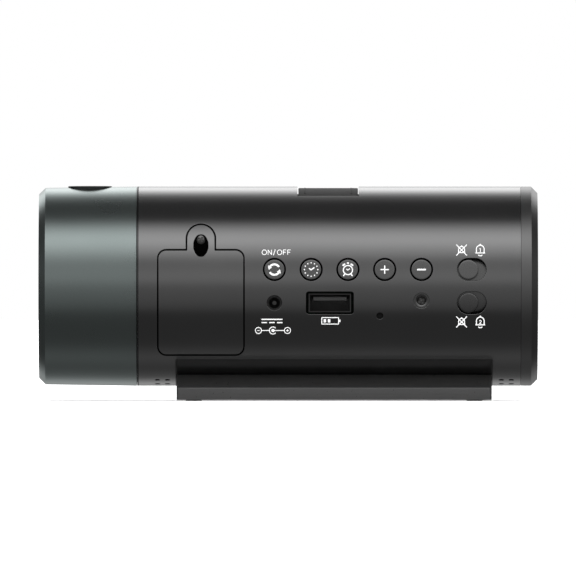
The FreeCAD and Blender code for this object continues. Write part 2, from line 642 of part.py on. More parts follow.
# Stand: a hollow moulding open below, closed by a plate with four rubber feet
stand_ends = ("%s + fit_gap" % stand_left, "%s - fit_gap" % stand_right)
stand_outside = padded("stand_outside", [
    ("-stand_half_width", "stand_lift"), ("stand_half_width", "stand_lift"),
    ("stand_half_width", "stand_shoulder"), ("stand_half_top", "stand_top"),
    ("-stand_half_top", "stand_top"), ("-stand_half_width", "stand_shoulder")], *stand_ends)
stand_inner_x = ("%s + stand_wall" % stand_ends[0], "%s - stand_wall" % stand_ends[1])
stand_inside = padded("stand_inside", [
    ("stand_wall - stand_half_width", "stand_lift - 1"), ("stand_half_width - stand_wall", "stand_lift - 1"),
    ("stand_half_width - stand_wall", "stand_shoulder - stand_wall / 2"),
    ("stand_half_top - stand_wall / 2", "stand_top - stand_wall"),
    ("stand_wall / 2 - stand_half_top", "stand_top - stand_wall"),
    ("stand_wall - stand_half_width", "stand_shoulder - stand_wall / 2")], *stand_inner_x)
cover_top = "(stand_lift + cover_thickness)"
stand_posts = []
stand_holes = []
stand_screws = []
stand_recess = "(stand_top - stand_wall - head_thickness)"
for x in stand_screw_x:
    for side in (-1, 1):
        y = "%d * base_screw_side" % side
        stand_posts.append(rod("stand_post", "z", "small_head / 2 + boss_wall", cover_top + " + fit_gap",
                               "stand_top - stand_wall / 2", x, y))
        stand_holes.append(rod("stand_recess", "z", "small_head / 2 + fit_gap * 2", "stand_lift",
                               stand_recess, x, y))
        stand_holes.append(rod("stand_hole", "z", "small_shank / 2 + fit_gap", "stand_lift",
                               "stand_top + 1", x, y))
        stand_screws.append(screw("stand_screw", "z", x, y, stand_recess, "small_head", "small_shank",
                                  "stand_top - %s + screw_grip" % stand_recess))
part(cut("stand_base", join("stand_ribbed", cut("stand_shell", stand_outside, stand_inside), *stand_posts),
         *stand_holes))
part(group("base_screws", *stand_screws))
cover_x = ("%s + fit_gap" % stand_inner_x[0], "%s - fit_gap" % stand_inner_x[1])
cover_y = around("0", "stand_half_width - stand_wall - fit_gap")
feet = []
foot_holes = []
for x in ("%s + foot_inset" % stand_left, "%s - foot_inset" % stand_right):
    for side in (-1, 1):
        y = "%d * (stand_half_width - foot_inset)" % side
        feet.append(rod("foot", "z", "foot_diameter / 2", "0", "foot_height", x, y))
        foot_holes.append(rod("foot_hole", "z", "foot_diameter / 2", "0", "foot_height", x, y))
part(cut("base_cover", block("cover_plate", cover_x, cover_y, ("stand_lift", cover_top)), *foot_holes))
part(group("rubber_feet", *feet))

# Case screws, from the rear housing into the display carrier
part(group("case_screws", *[
    screw("case_screw", "y", x, "-" + floor, above(z), "case_head", "case_shank", "%s + carrier_back - fit_gap * 10" % floor)
    for x, z, floor in case_screws_at]))

# Display carrier: an upright plate with screw posts, a shelf for the snooze board
# and four posts for the display board
carrier_space = barrel_space("carrier_space", "(%s - fit_gap)" % inner_radius, "(barrel_wall + fit_gap)",
                             "%s + head_thickness + moving_gap" % retainer_right,
                             "%s + moving_gap" % window_right)
carrier_plate = cut("carrier_plate",
                    overlap("carrier_disc", carrier_space,
                            block("carrier_block", full_x, ("carrier_back", carrier_front), full_z)),
                    block("carrier_relief", around(snooze_x, "snooze_length / 2 + snooze_lug + moving_gap"),
                          ("0", beyond), (above("%s - 2 * snooze_depth" % inner_radius), above(beyond))))
carrier_bosses = [rod("carrier_boss_relief", "z", "small_shank / 2 + boss_wall + moving_gap", "stand_top",
                      "2 * stand_top + moving_gap", x, "base_screw_side") for x in stand_screw_x]
carrier_posts = [rod("carrier_post", "y", "case_shank / 2 + boss_wall", "fit_gap", "carrier_back", x, above(z))
                 for x, z, floor in case_screws_at]
display_posts = [rod("display_post", "y", "boss_wall", carrier_front, display_back,
                     "%s + %d * display_length / 3" % (display_x, i), above("%d * display_half_height * 0.75" % k))
                 for i in (-1, 1) for k in (-1, 1)]
snooze_shelf = block("snooze_shelf_block", around(snooze_x, "snooze_length / 2"),
                     ("-carrier_back", carrier_front),
                     (above("snooze_shelf - barrel_wall"), above("snooze_shelf")))
carrier_holes = [rod("carrier_hole", "y", "case_shank / 2 + thread_gap", "0", "carrier_back",
                     x, above(z)) for x, z, floor in case_screws_at]
part(cut("display_carrier", join("carrier_solid", carrier_plate, snooze_shelf, *carrier_posts, *display_posts),
         *carrier_holes, *carrier_bosses))
display_span = around(display_x, "display_length / 2")
display_rise = (above("-display_half_height"), above("display_half_height"))
part(block("display_board", display_span, (display_back, display_back + " + board_thickness"), display_rise))
part(block("display_panel", around(display_x, "display_length / 2 - 1"),
           (display_back + " + board_thickness", "display_front"),
           (above("1 - display_half_height"), above("display_half_height - 1"))))

# Control board with its switches, chips and screws
board_openings = [rod("board_opening", "y", column + " + moving_gap", "-" + board_rear + " - 1",
                      "-" + board_front + " + 1", last_key_x, above("case_screw_height"))]
board_openings += [rod("board_screw_opening", "y", "small_shank / 2 + fit_gap", "-" + board_rear + " - 1",
                       "-" + board_front + " + 1", x, above(z)) for x, z in board_screws_at]
part(cut("control_board", block("board_plate", (board_left, board_right), ("-" + board_rear, "-" + board_front),
                                (above("-board_half_height"), above("board_half_height"))), *board_openings))
part(group("board_screws", *[screw("board_screw", "y", x, "-" + board_front, above(z), "small_head",
                                   "small_shank", "board_thickness + screw_grip", -1) for x, z in board_screws_at]))


def push_switch(name, x, z):
    """Square push switch on the rear of the control board, button towards the wall."""
    half = "tact_size / 2"
    return join(name, block(name + "_body", around(x, half), ("-(%s + tact_height)" % board_rear, "-" + board_rear),
                            around(above(z), half)),
                rod(name + "_button", "y", "actuator_radius", "-" + tact_top, "-" + board_rear, x, above(z)))


part(group("key_switches", *[push_switch("key_switch", x, "upper_row") for x in key_x]))
part(push_switch("reset_switch", reset_x, "reset_height"))
lever_depth = "(%s + tact_height * 0.5)" % board_rear
slide_bodies = []
for row in ("upper_row", "lower_row"):
    body = block("slide_body", around(slot_x, "slide_body_length / 2"),
                 ("-(%s + tact_height)" % board_rear, "-" + board_rear), around(above(row), "slide_body_height / 2"))
    way = block("slide_way", around(slot_x, "(slide_lever + knob_travel) / 2 + moving_gap"),
                ("-(%s + tact_height + 1)" % board_rear, "-%s + moving_gap" % lever_depth),
                around(above(row), "slide_lever / 2 + moving_gap"))
    slide_bodies.append(cut("slide_switch", body, way))
part(group("slide_switches", *slide_bodies))

# Power inlet: a square body with a round nose in the wall, and its centre pin
nose_end = "(barrel_radius - barrel_wall * 0.45)"
inlet_half = "inlet_body / 2"
inlet_solid = join("inlet_solid",
                   block("inlet_block", around(first_key_x, inlet_half), ("-" + flange_face, "-" + board_rear),
                         around(above("lower_row"), inlet_half)),
                   rod("inlet_nose", "y", "inlet_hole / 2 - thread_gap", "-" + nose_end, "-" + board_rear,
                       first_key_x, above("lower_row")))
inlet_floor = "(%s + inlet_back)" % board_rear
part(cut("power_inlet", inlet_solid, rod("inlet_way", "y", "inlet_bore / 2", far_rear, "-" + inlet_floor,
                                         first_key_x, above("lower_row"))))
part(rod("power_inlet_pin", "y", "inlet_pin / 2", "-(%s - inlet_back)" % nose_end, "-" + inlet_floor,
         first_key_x, above("lower_row")))

# Charging socket: a sheet-metal shell and the moulded tongue inside it
charge_mouth = "(barrel_radius - barrel_wall / 2)"
charge_z = above("lower_row")
part(cut("charge_socket_shell",
         block("charge_outer", around(charge_x, "charge_width / 2 + charge_shell"),
               ("-" + charge_mouth, "-" + board_rear), around(charge_z, "charge_height / 2 + charge_shell")),
         block("charge_inner", around(charge_x, "charge_width / 2"), (far_rear, "-%s + 1" % board_rear),
               around(charge_z, "charge_height / 2"))))
part(join("charge_socket_tongue",
          block("charge_back", around(charge_x, "charge_width / 2"), ("-(%s + charge_back)" % board_rear, "-" + board_rear),
                around(charge_z, "charge_height / 2")),
          block("charge_tongue", around(charge_x, "charge_width / 2 - tongue_side_gap"),
                ("-(%s - tongue_sink)" % charge_mouth, "-" + board_rear),
                around("%s + tongue_rise" % charge_z, "tongue_thickness / 2 - fit_gap"))))

# Coin cell and its contact springs
part(rod("coin_cell", "y", "cell_radius", "-" + cell_face, "-" + cell_back, door_x, above("cell_height")))
part(group("cell_contacts",
           block("contact_below", around(door_x, "cell_radius / 2"), ("-" + cell_back, "-" + bay_floor),
                 around(above("cell_height"), "cell_radius / 4")),
           block("contact_side", around(door_x, "cell_radius / 4"), ("-" + cell_face, "-" + bay_floor),
                 (above("cell_height + cell_radius"), above(bay_top)))))

# Snooze board on its shelf, with one push switch under the key
snooze_board_top = "(snooze_shelf + board_thickness)"
snooze_switch_top = "(%s + tact_height)" % snooze_board_top
snooze_button_top = "(%s + actuator_height)" % snooze_switch_top
part(block("snooze_board", around(snooze_x, "snooze_length / 2 - 1"), around("0", "carrier_back - 1"),
           (above("snooze_shelf"), above(snooze_board_top))))
part(join("snooze_switch",
          block("snooze_switch_body", around(snooze_x, "tact_size / 2"), around("0", "tact_size / 2"),
                (above(snooze_board_top), above(snooze_switch_top))),
          rod("snooze_switch_button", "z", "actuator_radius", above(snooze_board_top),
              above(snooze_button_top), snooze_x, "0")))


# Keys: a cap that follows the barrel's curve, a flange behind the wall and a stem
def key(name, x):
    face = rod(name + "_face", "x", "barrel_radius - key_recess", barrel_left, barrel_right, "0", "axis_height")
    cap = overlap(name + "_cap", face, rod(name + "_post", "y", "key_cap / 2", "-barrel_radius",
                                           "-" + flange_back, x, above("upper_row")))
    return join(name, cap,
                rod(name + "_flange", "y", "key_flange / 2", "-" + flange_face, "-" + flange_back,
                    x, above("upper_row")),
                rod(name + "_stem", "y", "stem_diameter / 2", "-" + flange_face,
                    "-(%s + key_travel + press_gap)" % tact_top, x, above("upper_row")))


for name, x in zip(("projection_key", "clock_key", "alarm_key", "plus_key", "minus_key"), key_x):
    part(key(name, x))


# Slide knobs: a round knob in its slot, a flange behind the wall and a lever
def knob(name, row):
    rest = "(%s - knob_travel / 2)" % slot_x
    face = rod(name + "_face", "x", "barrel_radius - key_recess", barrel_left, barrel_right, "0", "axis_height")
    cap = overlap(name + "_cap", face, rod(name + "_post", "y", "knob_diameter / 2", "-barrel_radius",
                                           "-" + flange_back, rest, above(row)))
    reach = "(knob_slot / 2 + knob_travel / 2 + moving_gap)"
    return join(name, cap,
                block(name + "_flange", ("%s - %s" % (rest, reach), "%s + %s" % (slot_x, reach)),
                      ("-" + flange_face, "-" + flange_back), around(above(row), "key_flange / 2")),
                block(name + "_lever", around(rest, "slide_lever / 2"),
                      ("-" + flange_face, "-" + lever_depth), around(above(row), "slide_lever / 2")))


part(knob("alarm_one_knob", "upper_row"))
part(knob("alarm_two_knob", "lower_row"))
part(rod("reset_plunger", "y", "reset_hole / 2 - fit_gap", "-(%s - reset_sink)" % flange_face,
         "-(%s + reset_travel + press_gap)" % tact_top, reset_x, above("reset_height")))

# Snooze key: a curved cap, lugs that hold it under the wall, and a stem
snooze_outer = "(barrel_radius - snooze_recess)"
snooze_inner = "(%s - snooze_depth)" % snooze_outer
snooze_cap = overlap("snooze_cap",
                     block("snooze_cap_block", around(snooze_x, "snooze_length / 2"),
                           around("0", "snooze_half_chord"), (above("0"), above(beyond))),
                     shell_between("snooze_shell", snooze_outer, snooze_inner, barrel_left, barrel_right))
snooze_lugs = overlap("snooze_lugs",
                      block("snooze_lug_block", around(snooze_x, "snooze_length / 2 + snooze_lug"),
                            around("0", "snooze_half_chord / 2"), (above("0"), above(beyond))),
                      shell_between("snooze_lug_shell", "(%s - moving_gap)" % inner_radius, snooze_inner,
                                    barrel_left, barrel_right))
snooze_post = rod("snooze_post", "z", "snooze_stem / 2",
                  above("%s + snooze_travel + press_gap" % snooze_button_top),
                  above("%s + snooze_depth / 2" % snooze_inner), snooze_x, "0")
part(join("snooze_key", snooze_cap, snooze_lugs, snooze_post))

# Battery door: a curved plate with a deep pocket for its captive screw
door_plate = overlap("door_plate", door_outline("door_plate_outline", "0", far_rear, "-door_corner"),
                     shell_between("door_shell", "barrel_radius", door_inner, barrel_left, barrel_right))
door_pocket = overlap("door_pocket", surface,
                      tall_slot("door_pocket_outer", door_x, above("screw_pocket_middle"),
                                "screw_pocket_width + 2 * pocket_wall", "screw_pocket_height + 2 * pocket_wall",
                                "-barrel_radius", "-(pocket_floor - pocket_wall)"))
part(cut("battery_door", join("door_solid", door_plate, door_pocket),
         tall_slot("door_pocket_inner", door_x, above("screw_pocket_middle"), "screw_pocket_width",
                   "screw_pocket_height", far_rear, "-pocket_floor"),
         rod("door_screw_way", "y", "small_shank / 2 + fit_gap", far_rear, "0", door_x,
             above("door_screw_height"))))
part(screw("battery_door_screw", "y", door_x, "-pocket_floor", above("door_screw_height"),
           "tiny_head", "small_shank", "pocket_wall + moving_gap + screw_grip"))

# Projector head: a turned shell with a chamfered end and an opening for the lens ring
head_profile = [("0", "0"), ("head_tip_radius - end_chamfer", "0"), ("head_tip_radius", "end_chamfer"),
                ("barrel_radius", "head_length"), ("barrel_radius - seam_step", "head_length"),
                ("barrel_radius - seam_step", "head_length + seam_lip"), (inner_radius, "head_length + seam_lip"),
                ("head_tip_radius - barrel_wall", "end_chamfer + barrel_wall / 2"),
                ("head_tip_radius - barrel_wall - end_chamfer / 2", "barrel_wall"), ("0", "barrel_wall")]
lens_opening = rod("lens_opening", "z", "bezel_radius + lens_opening_gap", "axis_height", above(beyond),
                   lens_x, "0")
part(cut("head_shell", turned("head_turned", head_profile, "x", left_end, "0", "axis_height"), lens_opening))

# Hub: a disc in the head's open end and a hollow journal through the bearing plate
journal_end = "(%s - %s)" % (washer_right, hub_left)
hub_radius = "(%s - 2 * fit_gap)" % inner_radius
hub_blank = turned("hub_blank", [("journal_bore", "0"), (hub_radius, "0"), (hub_radius, "hub_disc"),
                                 ("journal_radius", "hub_disc"), ("journal_radius", journal_end),
                                 ("journal_bore", journal_end)], "x", hub_left, "0", "axis_height")
retainer_spots = []
for i in range(3):
    angle = "(%d * 1 deg)" % (90 + 120 * i)
    retainer_spots.append(("retainer_screw_circle * cos(%s)" % angle,
                           above("retainer_screw_circle * sin(%s)" % angle)))
hub_spots = [("%d * (frame_flange_half - small_head / 2 - 1)" % side, "axis_height") for side in (-1, 1)]
retainer_holes = [rod("retainer_hole", "x", "tiny_shank / 2 + thread_gap", "%s - tiny_grip * 1.25" % washer_right,
                      "%s + 1" % retainer_right, y, z) for y, z in retainer_spots]
hub_holes = [rod("hub_hole", "x", "small_shank / 2 + fit_gap", "%s - 1" % hub_left, "%s + 1" % head_right, y, z)
             for y, z in hub_spots]
hub_holes += [rod("hub_recess", "x", "small_head / 2 + fit_gap", "%s - head_thickness" % head_right,
                  "%s + 1" % head_right, y, z) for y, z in hub_spots]
part(cut("head_hub", hub_blank, *retainer_holes, *hub_holes))
part(cut("hub_retainer", turned("retainer_blank", [
    ("journal_bore", "0"), ("retainer_radius", "0"), ("retainer_radius", "retainer_thickness"),
    ("journal_bore", "retainer_thickness")], "x", washer_right, "0", "axis_height"), *retainer_holes))
part(turned("friction_washer", [
    ("journal_radius + fit_gap", "0"), ("retainer_radius - fit_gap", "0"),
    ("retainer_radius - fit_gap", "washer_thickness"), ("journal_radius + fit_gap", "washer_thickness")],
    "x", "%s - washer_thickness" % washer_right, "0", "axis_height"))
part(group("retainer_screws", *[screw("retainer_screw", "x", retainer_right, y, z, "tiny_head", "tiny_shank",
                                      "retainer_thickness + tiny_grip", -1) for y, z in retainer_spots]))
part(group("hub_screws", *[screw("hub_screw", "x", "%s - head_thickness" % head_right, y, z, "small_head",
                                 "small_shank", "hub_disc - head_thickness + frame_flange", -1)
                           for y, z in hub_spots]))

# Projector: diode, condenser, picture glass and lenses in line below the lens ring
frame_left = "(%s - frame_half_width)" % lens_x
plug_left = "(%s - plug_size * 0.6)" % hub_left
frame_blank = join("frame_blank",
                   block("frame_block", (frame_left, hub_left), around("0", "frame_half_width"),
                         (above("frame_bottom"), above("frame_top"))),
                   block("frame_plate", ("%s - frame_flange" % hub_left, hub_left),
                         around("0", "frame_flange_half"), around("axis_height", "frame_top")))
frame_holes = [
    rod("light_shaft", "z", "frame_bore", above("frame_bottom - 1"), above("frame_top + 1"), lens_x, "0"),
    block("valve_slot", around(lens_x, "valve_half_width + fit_gap"),
          ("-frame_half_width - 1", "valve_half_width - 1"),
          (above("valve_height - fit_gap"), above("valve_height + valve_thickness + fit_gap"))),
    block("plug_pocket", (plug_left, "%s + 1" % hub_left), around("0", "plug_size / 2 + fit_gap"),
          around("axis_height", "plug_size / 2 + fit_gap"))]
frame_holes += [rod("frame_hole", "x", "small_shank / 2 + thread_gap", "%s - frame_flange - 1" % hub_left,
                    "%s + 1" % hub_left, y, z) for y, z in hub_spots]
part(cut("projector_frame", frame_blank, *frame_holes))
part(block("lead_plug", (plug_left, hub_left), around("0", "plug_size / 2"), around("axis_height", "plug_size / 2")))
lamp_board_z = (above("frame_bottom - board_thickness"), above("frame_bottom"))
part(block("lamp_board", around(lens_x, lamp_half), around("0", lamp_half), lamp_board_z))
part(block("projector_lamp", around(lens_x, "lamp_size / 2"), around("0", "lamp_size / 2"),
           (lamp_board_z[1], lamp_board_z[1] + " + lamp_height")))
sink_bottom = "%s - sink_height" % lamp_board_z[0]
fins = [block("sink_fin", around("%s + %d * (%s - sink_fin / 2) / 2" % (lens_x, i, lamp_half), "sink_fin / 2"),
              around("0", lamp_half), (sink_bottom, lamp_board_z[0])) for i in range(-2, 3)]
part(join("heat_sink", block("sink_plate", around(lens_x, lamp_half), around("0", lamp_half),
                             ("%s - sink_height / 4" % lamp_board_z[0], lamp_board_z[0])), *fins))
part(turned("condenser_lens", [("0", "0"), ("frame_bore - fit_gap / 2", "0"),
                               ("frame_bore - fit_gap / 2", "condenser_thickness / 3"),
                               ("frame_bore * 0.6", "condenser_thickness * 0.8"), ("0", "condenser_thickness")],
            "z", lens_x, "0", above("valve_height - fit_gap - condenser_thickness - 0.5")))
part(block("picture_glass", around(lens_x, "valve_half_width"), ("-frame_half_width", "valve_half_width - 1.1"),
           (above("valve_height"), above("valve_height + valve_thickness"))))
tube_end = "(%s - frame_top)" % bezel_bottom
part(turned("lens_tube", [("tube_radius - tube_wall", "0"), ("tube_flange", "0"), ("tube_flange", "tube_wall"),
                          ("tube_radius", "tube_wall"), ("tube_radius", tube_end),
                          ("tube_radius - tube_wall", tube_end)], "z", lens_x, "0", above("frame_top")))
part(turned("inner_lens", [("0", "0"), ("tube_radius - tube_wall - fit_gap / 2", "lens_crown"),
                           ("tube_radius - tube_wall - fit_gap / 2", "lens_thickness - lens_crown"),
                           ("0", "lens_thickness")], "z", lens_x, "0", above("inner_lens_height")))
bezel_height = "(barrel_radius + lens_proud - %s)" % bezel_bottom
lens_seat = "(%s - lens_thickness - lens_crown / 2)" % bezel_height
part(turned("lens_bezel", [("bezel_seat", "0"), ("bezel_flange", "0"), ("bezel_flange", "bezel_flange_thickness"),
                           ("bezel_radius", "bezel_flange_thickness"), ("bezel_radius", bezel_height),
                           ("bezel_bore", bezel_height), ("bezel_bore", lens_seat), ("bezel_seat", lens_seat)],
            "z", lens_x, "0", above(bezel_bottom)))
part(turned("projection_lens", [("0", "0"), ("bezel_bore - fit_gap / 2", "0"),
                                ("bezel_bore - fit_gap / 2", "lens_thickness - lens_crown"),
                                ("bezel_bore / 2", "lens_thickness - lens_crown / 4"), ("0", "lens_thickness")],
            "z", lens_x, "0", above("%s + %s" % (bezel_bottom, lens_seat))))

# Lead from the control board through the hollow journal to the plug in the head,
# as straight runs joined by tangent arcs in the level of the axis
socket_depth = "lead_radius * 2 + 1"
connector_y = ("-" + board_front, "-%s + (%s) * 2" % (board_front, socket_depth))
part(block("lead_connector", (board_left, board_left + " + plug_size"), connector_y,
           around("axis_height", "plug_size / 2")))


def number(text):
    """Value of a formula from the sheet's own names, worked out on the document."""
    probe = doc.addObject("App::FeaturePython", "probe")
    probe.addProperty("App::PropertyFloat", "Value")
    bind(probe, "Value", text)
    probe.recompute()
    value = probe.Value
    doc.removeObject(probe.Name)
    return value


def rounded_route(points, ease=0.45):
    """Wire of straight runs with a tangent arc at every inner corner."""
    edges = []
    start = points[0]
    for before, corner, after in zip(points, points[1:], points[2:]):
        back = before - corner
        ahead = after - corner
        reach = ease * min(back.Length, ahead.Length)
        back.normalize()
        ahead.normalize()
        half_turn = (math.pi - back.getAngle(ahead)) / 2
        radius = reach / math.tan(half_turn)
        print("lead bend radius", round(radius, 1))
        middle = back + ahead
        middle.normalize()
        enter = corner + back * reach
        leave = corner + ahead * reach
        centre_way = radius / math.cos(half_turn) - radius
        edges.append(Part.LineSegment(start, enter).toShape())
        edges.append(Part.Arc(enter, corner + middle * centre_way, leave).toShape())
        start = leave
    edges.append(Part.LineSegment(start, points[-1]).toShape())
    return Part.Wire(edges)


doc.recompute()
lead_y = number("-%s + (%s)" % (board_front, socket_depth))
axis_z = number("axis_height")
lead_start = number("%s + moving_gap" % hub_left)
lead_finish = number(board_left)
span = lead_finish - number(retainer_right)
lead_points = [Vector(lead_start, 0, axis_z), Vector(lead_finish - 0.7 * span, 0, axis_z),
               Vector(lead_finish - 0.33 * span, lead_y, axis_z), Vector(lead_finish, lead_y, axis_z)]
lead_radius = number("lead_radius")
lead_wire = rounded_route(lead_points)
lead_circle = Part.Wire(Part.makeCircle(lead_radius, lead_points[0], Vector(1, 0, 0)))
lead = doc.addObject("Part::Feature", "projector_lead")
lead.Shape = lead_wire.makePipeShell([lead_circle], True, True)
part(lead)

# Chips and other parts on the front of the control board
chips = []
for x, row, side, height in ((key_x[1], 0.35, "chip_side", "chip_height"),
                             (key_x[2], -0.5, "chip_side * 2 / 3", "chip_height"),
                             (key_x[3], 0.45, "chip_side / 3", "chip_height * 2"),
                             (slot_x, -0.1, "coil_side", "coil_height")):
    chips.append(block("chip", around(x, "(%s) / 2" % side), ("-" + board_front, "-%s + %s" % (board_front, height)),
                       around(above("%s * board_half_height" % row), "(%s) / 2" % side)))
part(group("board_chips", *chips))

# Check everything before any file is written
doc.recompute()
for item in doc.Objects:
    if "Invalid" in item.State or "Error" in item.State:
        raise RuntimeError("%s did not compute: %s" % (item.Name, item.State))
for item in parts:
    if item.Shape.isNull() or not item.Shape.isValid():
        raise RuntimeError("%s has no valid shape" % item.Label)
for item in parts:
    item.Shape.exportStep("parts/%s.step" % item.Label)
    print("%-22s solids %2d volume %9.1f" % (item.Label, len(item.Shape.Solids), item.Shape.Volume))
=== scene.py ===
import math
import bmesh
import bpy
import numpy as np
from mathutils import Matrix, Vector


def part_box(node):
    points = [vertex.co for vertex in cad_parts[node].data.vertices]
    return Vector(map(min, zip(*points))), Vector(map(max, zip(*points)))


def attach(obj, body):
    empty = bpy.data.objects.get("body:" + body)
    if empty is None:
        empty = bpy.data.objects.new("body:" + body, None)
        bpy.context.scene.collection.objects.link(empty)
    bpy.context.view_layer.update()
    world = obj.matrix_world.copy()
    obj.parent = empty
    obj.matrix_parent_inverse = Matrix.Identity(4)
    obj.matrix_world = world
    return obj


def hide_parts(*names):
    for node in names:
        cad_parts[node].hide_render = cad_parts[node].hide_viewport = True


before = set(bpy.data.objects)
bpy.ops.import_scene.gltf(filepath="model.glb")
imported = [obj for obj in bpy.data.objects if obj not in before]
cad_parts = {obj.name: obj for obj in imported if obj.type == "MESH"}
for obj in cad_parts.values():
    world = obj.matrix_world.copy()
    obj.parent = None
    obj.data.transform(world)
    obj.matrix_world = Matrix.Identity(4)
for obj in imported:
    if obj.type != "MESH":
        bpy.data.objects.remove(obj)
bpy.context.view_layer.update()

# Projection alarm clock seen from behind: a gloss barrel with keys and sockets, a satin
# turning head with a lens, a satin end cap and a low stand.
# Millimetres here, metres in the meshes. X along the barrel, -Y towards the keys, Z up.

metre = 0.001  # one millimetre in metres

barrel = {
    "radius": 31.0,
    "axisHeight": 35.6,
    "inkThickness": 0.02,  # height of the printed marks above the skin
    "seamAt": -47.07,  # along X, where the seam between head and barrel begins
    "seamEnd": -46.45,
    "seamUnshadedShare": 0.35,  # how much of the lacquer the barrel's end keeps in the seam; the rest is painted near-black shade
    "notchTop": 12.96,  # the cut below the barrel that the stand sits in
    "notchMiddle": 14.25,
    "notchHalf": 49.3,
    "notchUnshadedShare": 0.45,  # how much of the lacquer the walls of the cut keep; the rest is painted near-black shade
}


# Mesh making

def put(name, data):
    made = bpy.data.objects.new(name, data)
    bpy.context.scene.collection.objects.link(made)
    return made


def putMesh(name, shape, body, slotName, finish=None, smooth=True):
    # shape: rows of x, y, z in millimetres, then lists of corner numbers
    # finish: the finish's name where it isn't the slot's own
    points, faces = shape
    mesh = bpy.data.meshes.new(name)
    mesh.from_pydata((points * metre).tolist(), [], faces)
    facing = bmesh.new()
    facing.from_mesh(mesh)
    bmesh.ops.recalc_face_normals(facing, faces=facing.faces)
    facing.to_mesh(mesh)
    facing.free()
    mesh.polygons.foreach_set("use_smooth", np.full(len(mesh.polygons), smooth))
    mesh.set_sharp_from_angle(angle=math.radians(40))
    mesh.materials.append(finishes[finish or slotName])
    piece = put(name, mesh)
    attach(piece, body)
    return piece


def gridFaces(rows, columns, rowsJoin=False):
    # four-cornered faces between neighbouring points of rows that each close into a ring
    r, c = np.divmod(np.arange((rows if rowsJoin else rows - 1) * columns), columns)
    nextR, nextC = (r + 1) % rows, (c + 1) % columns
    corners = (r * columns + c, r * columns + nextC, nextR * columns + nextC, nextR * columns + c)
    return np.stack(corners, 1).tolist()


def together(*shapes):
    # several closed shapes as one list of points and faces
    points, faces = zip(*shapes)
    starts = np.cumsum([0] + [len(part) for part in points])
    joined = [[corner + start for corner in face] for start, part in zip(starts, faces) for face in part]
    return np.vstack(points), joined


def nodeBox(name):
    # a solid's box in millimetres
    return [np.array(corner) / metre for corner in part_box(name)]


# Shader maths

class Wire:
    # one node socket that adds, takes away, multiplies and compares like a number
    def __init__(self, finish, socket):
        self.finish = finish
        self.socket = socket

    def __add__(self, other):
        return self.finish.maths("ADD", self, other)

    def __sub__(self, other):
        return self.finish.maths("SUBTRACT", self, other)

    def __rsub__(self, other):
        return self.finish.maths("SUBTRACT", other, self)

    def __mul__(self, other):
        return self.finish.maths("MULTIPLY", self, other)

    def __truediv__(self, other):
        return self.finish.maths("DIVIDE", self, other)

    def __rtruediv__(self, other):
        return self.finish.maths("DIVIDE", other, self)

    def __neg__(self):
        return self * -1

    def __gt__(self, other):
        return self.finish.maths("GREATER_THAN", self, other)

    def __lt__(self, other):
        return self.finish.maths("LESS_THAN", self, other)

    __radd__ = __add__
    __rmul__ = __mul__

    def held(self):
        # kept from 0 to 1
        return self.finish.maths("ADD", self, 0, clamp=True)


class Finish:
    # a node tree with one method that adds any node
    def __init__(self, tree):
        self.tree = tree

    def node(self, kind, settings=None, inputs=None, output=0):
        made = self.tree.nodes.new("ShaderNode" + kind)
        for key, value in (settings or {}).items():
            setattr(made, key, value)
        pairs = enumerate(inputs) if isinstance(inputs, list) else (inputs or {}).items()
        for key, value in pairs:
            self.feed(made.inputs[key], value)
        return Wire(self, made.outputs[output]) if len(made.outputs) else made

    def feed(self, socket, value):
        if isinstance(value, Wire):
            self.tree.links.new(value.socket, socket)
        else:
            socket.default_value = (*value, 1.0) if socket.type == "RGBA" else value

    def maths(self, operation, *values, clamp=False):
        return self.node("Math", {"operation": operation, "use_clamp": clamp}, list(values))

    def point(self):
        return self.node("TexCoord", output="Object")

    def place(self, axis):
        # the point's place along X, Y or Z, in metres
        return self.node("SeparateXYZ", {}, {"Vector": self.point()}, output="XYZ".index(axis))

    def spread(self, scale, stretch=(1, 1, 1), detail=4.0):
        # soft noise from 0 to 1; scale is in lumps per metre
        place = self.node("Mapping", {}, {"Vector": self.point(), "Scale": stretch})
        inputs = {"Vector": place, "Scale": scale, "Detail": detail, "Roughness": 0.5}
        return self.node("TexNoise", {}, inputs)

    def blend(self, share, low, high):
        # a colour between two others
        return self.node("Mix", {"data_type": "RGBA"}, {0: share, 6: low, 7: high}, output=2)

    def bumps(self, height, strength, distance):
        return self.node("Bump", {}, {"Height": height, "Strength": strength, "Distance": distance})


# painted shade: a near-black surface put in gaps and recesses where shadow should fall
paintedShadeLook = {"Base Color": (0.004, 0.004, 0.004), "Roughness": 0.9, "Specular IOR Level": 0.0}


def newMaterial(name, look, paint=None, share=None):
    # look holds the shader's fixed sockets; paint(finish) returns the sockets that vary
    # share(finish) is 1 where the surface shows and 0 where it is painted near-black as shade in a gap
    material = bpy.data.materials.new(name)
    material.use_nodes = True
    material.node_tree.nodes.clear()
    finish = Finish(material.node_tree)
    sockets = {**look, **(paint(finish) if paint else {})}
    surface = finish.node("BsdfPrincipled", {}, sockets)
    if share:
        # the near-black painted shade
        gap = finish.node("BsdfPrincipled", {}, paintedShadeLook)
        surface = finish.node("MixShader", {}, {0: share(finish), 1: gap, 2: surface})
    finish.node("OutputMaterial", {}, {"Surface": surface})
    return material


# Finishes, one for each material slot of the record

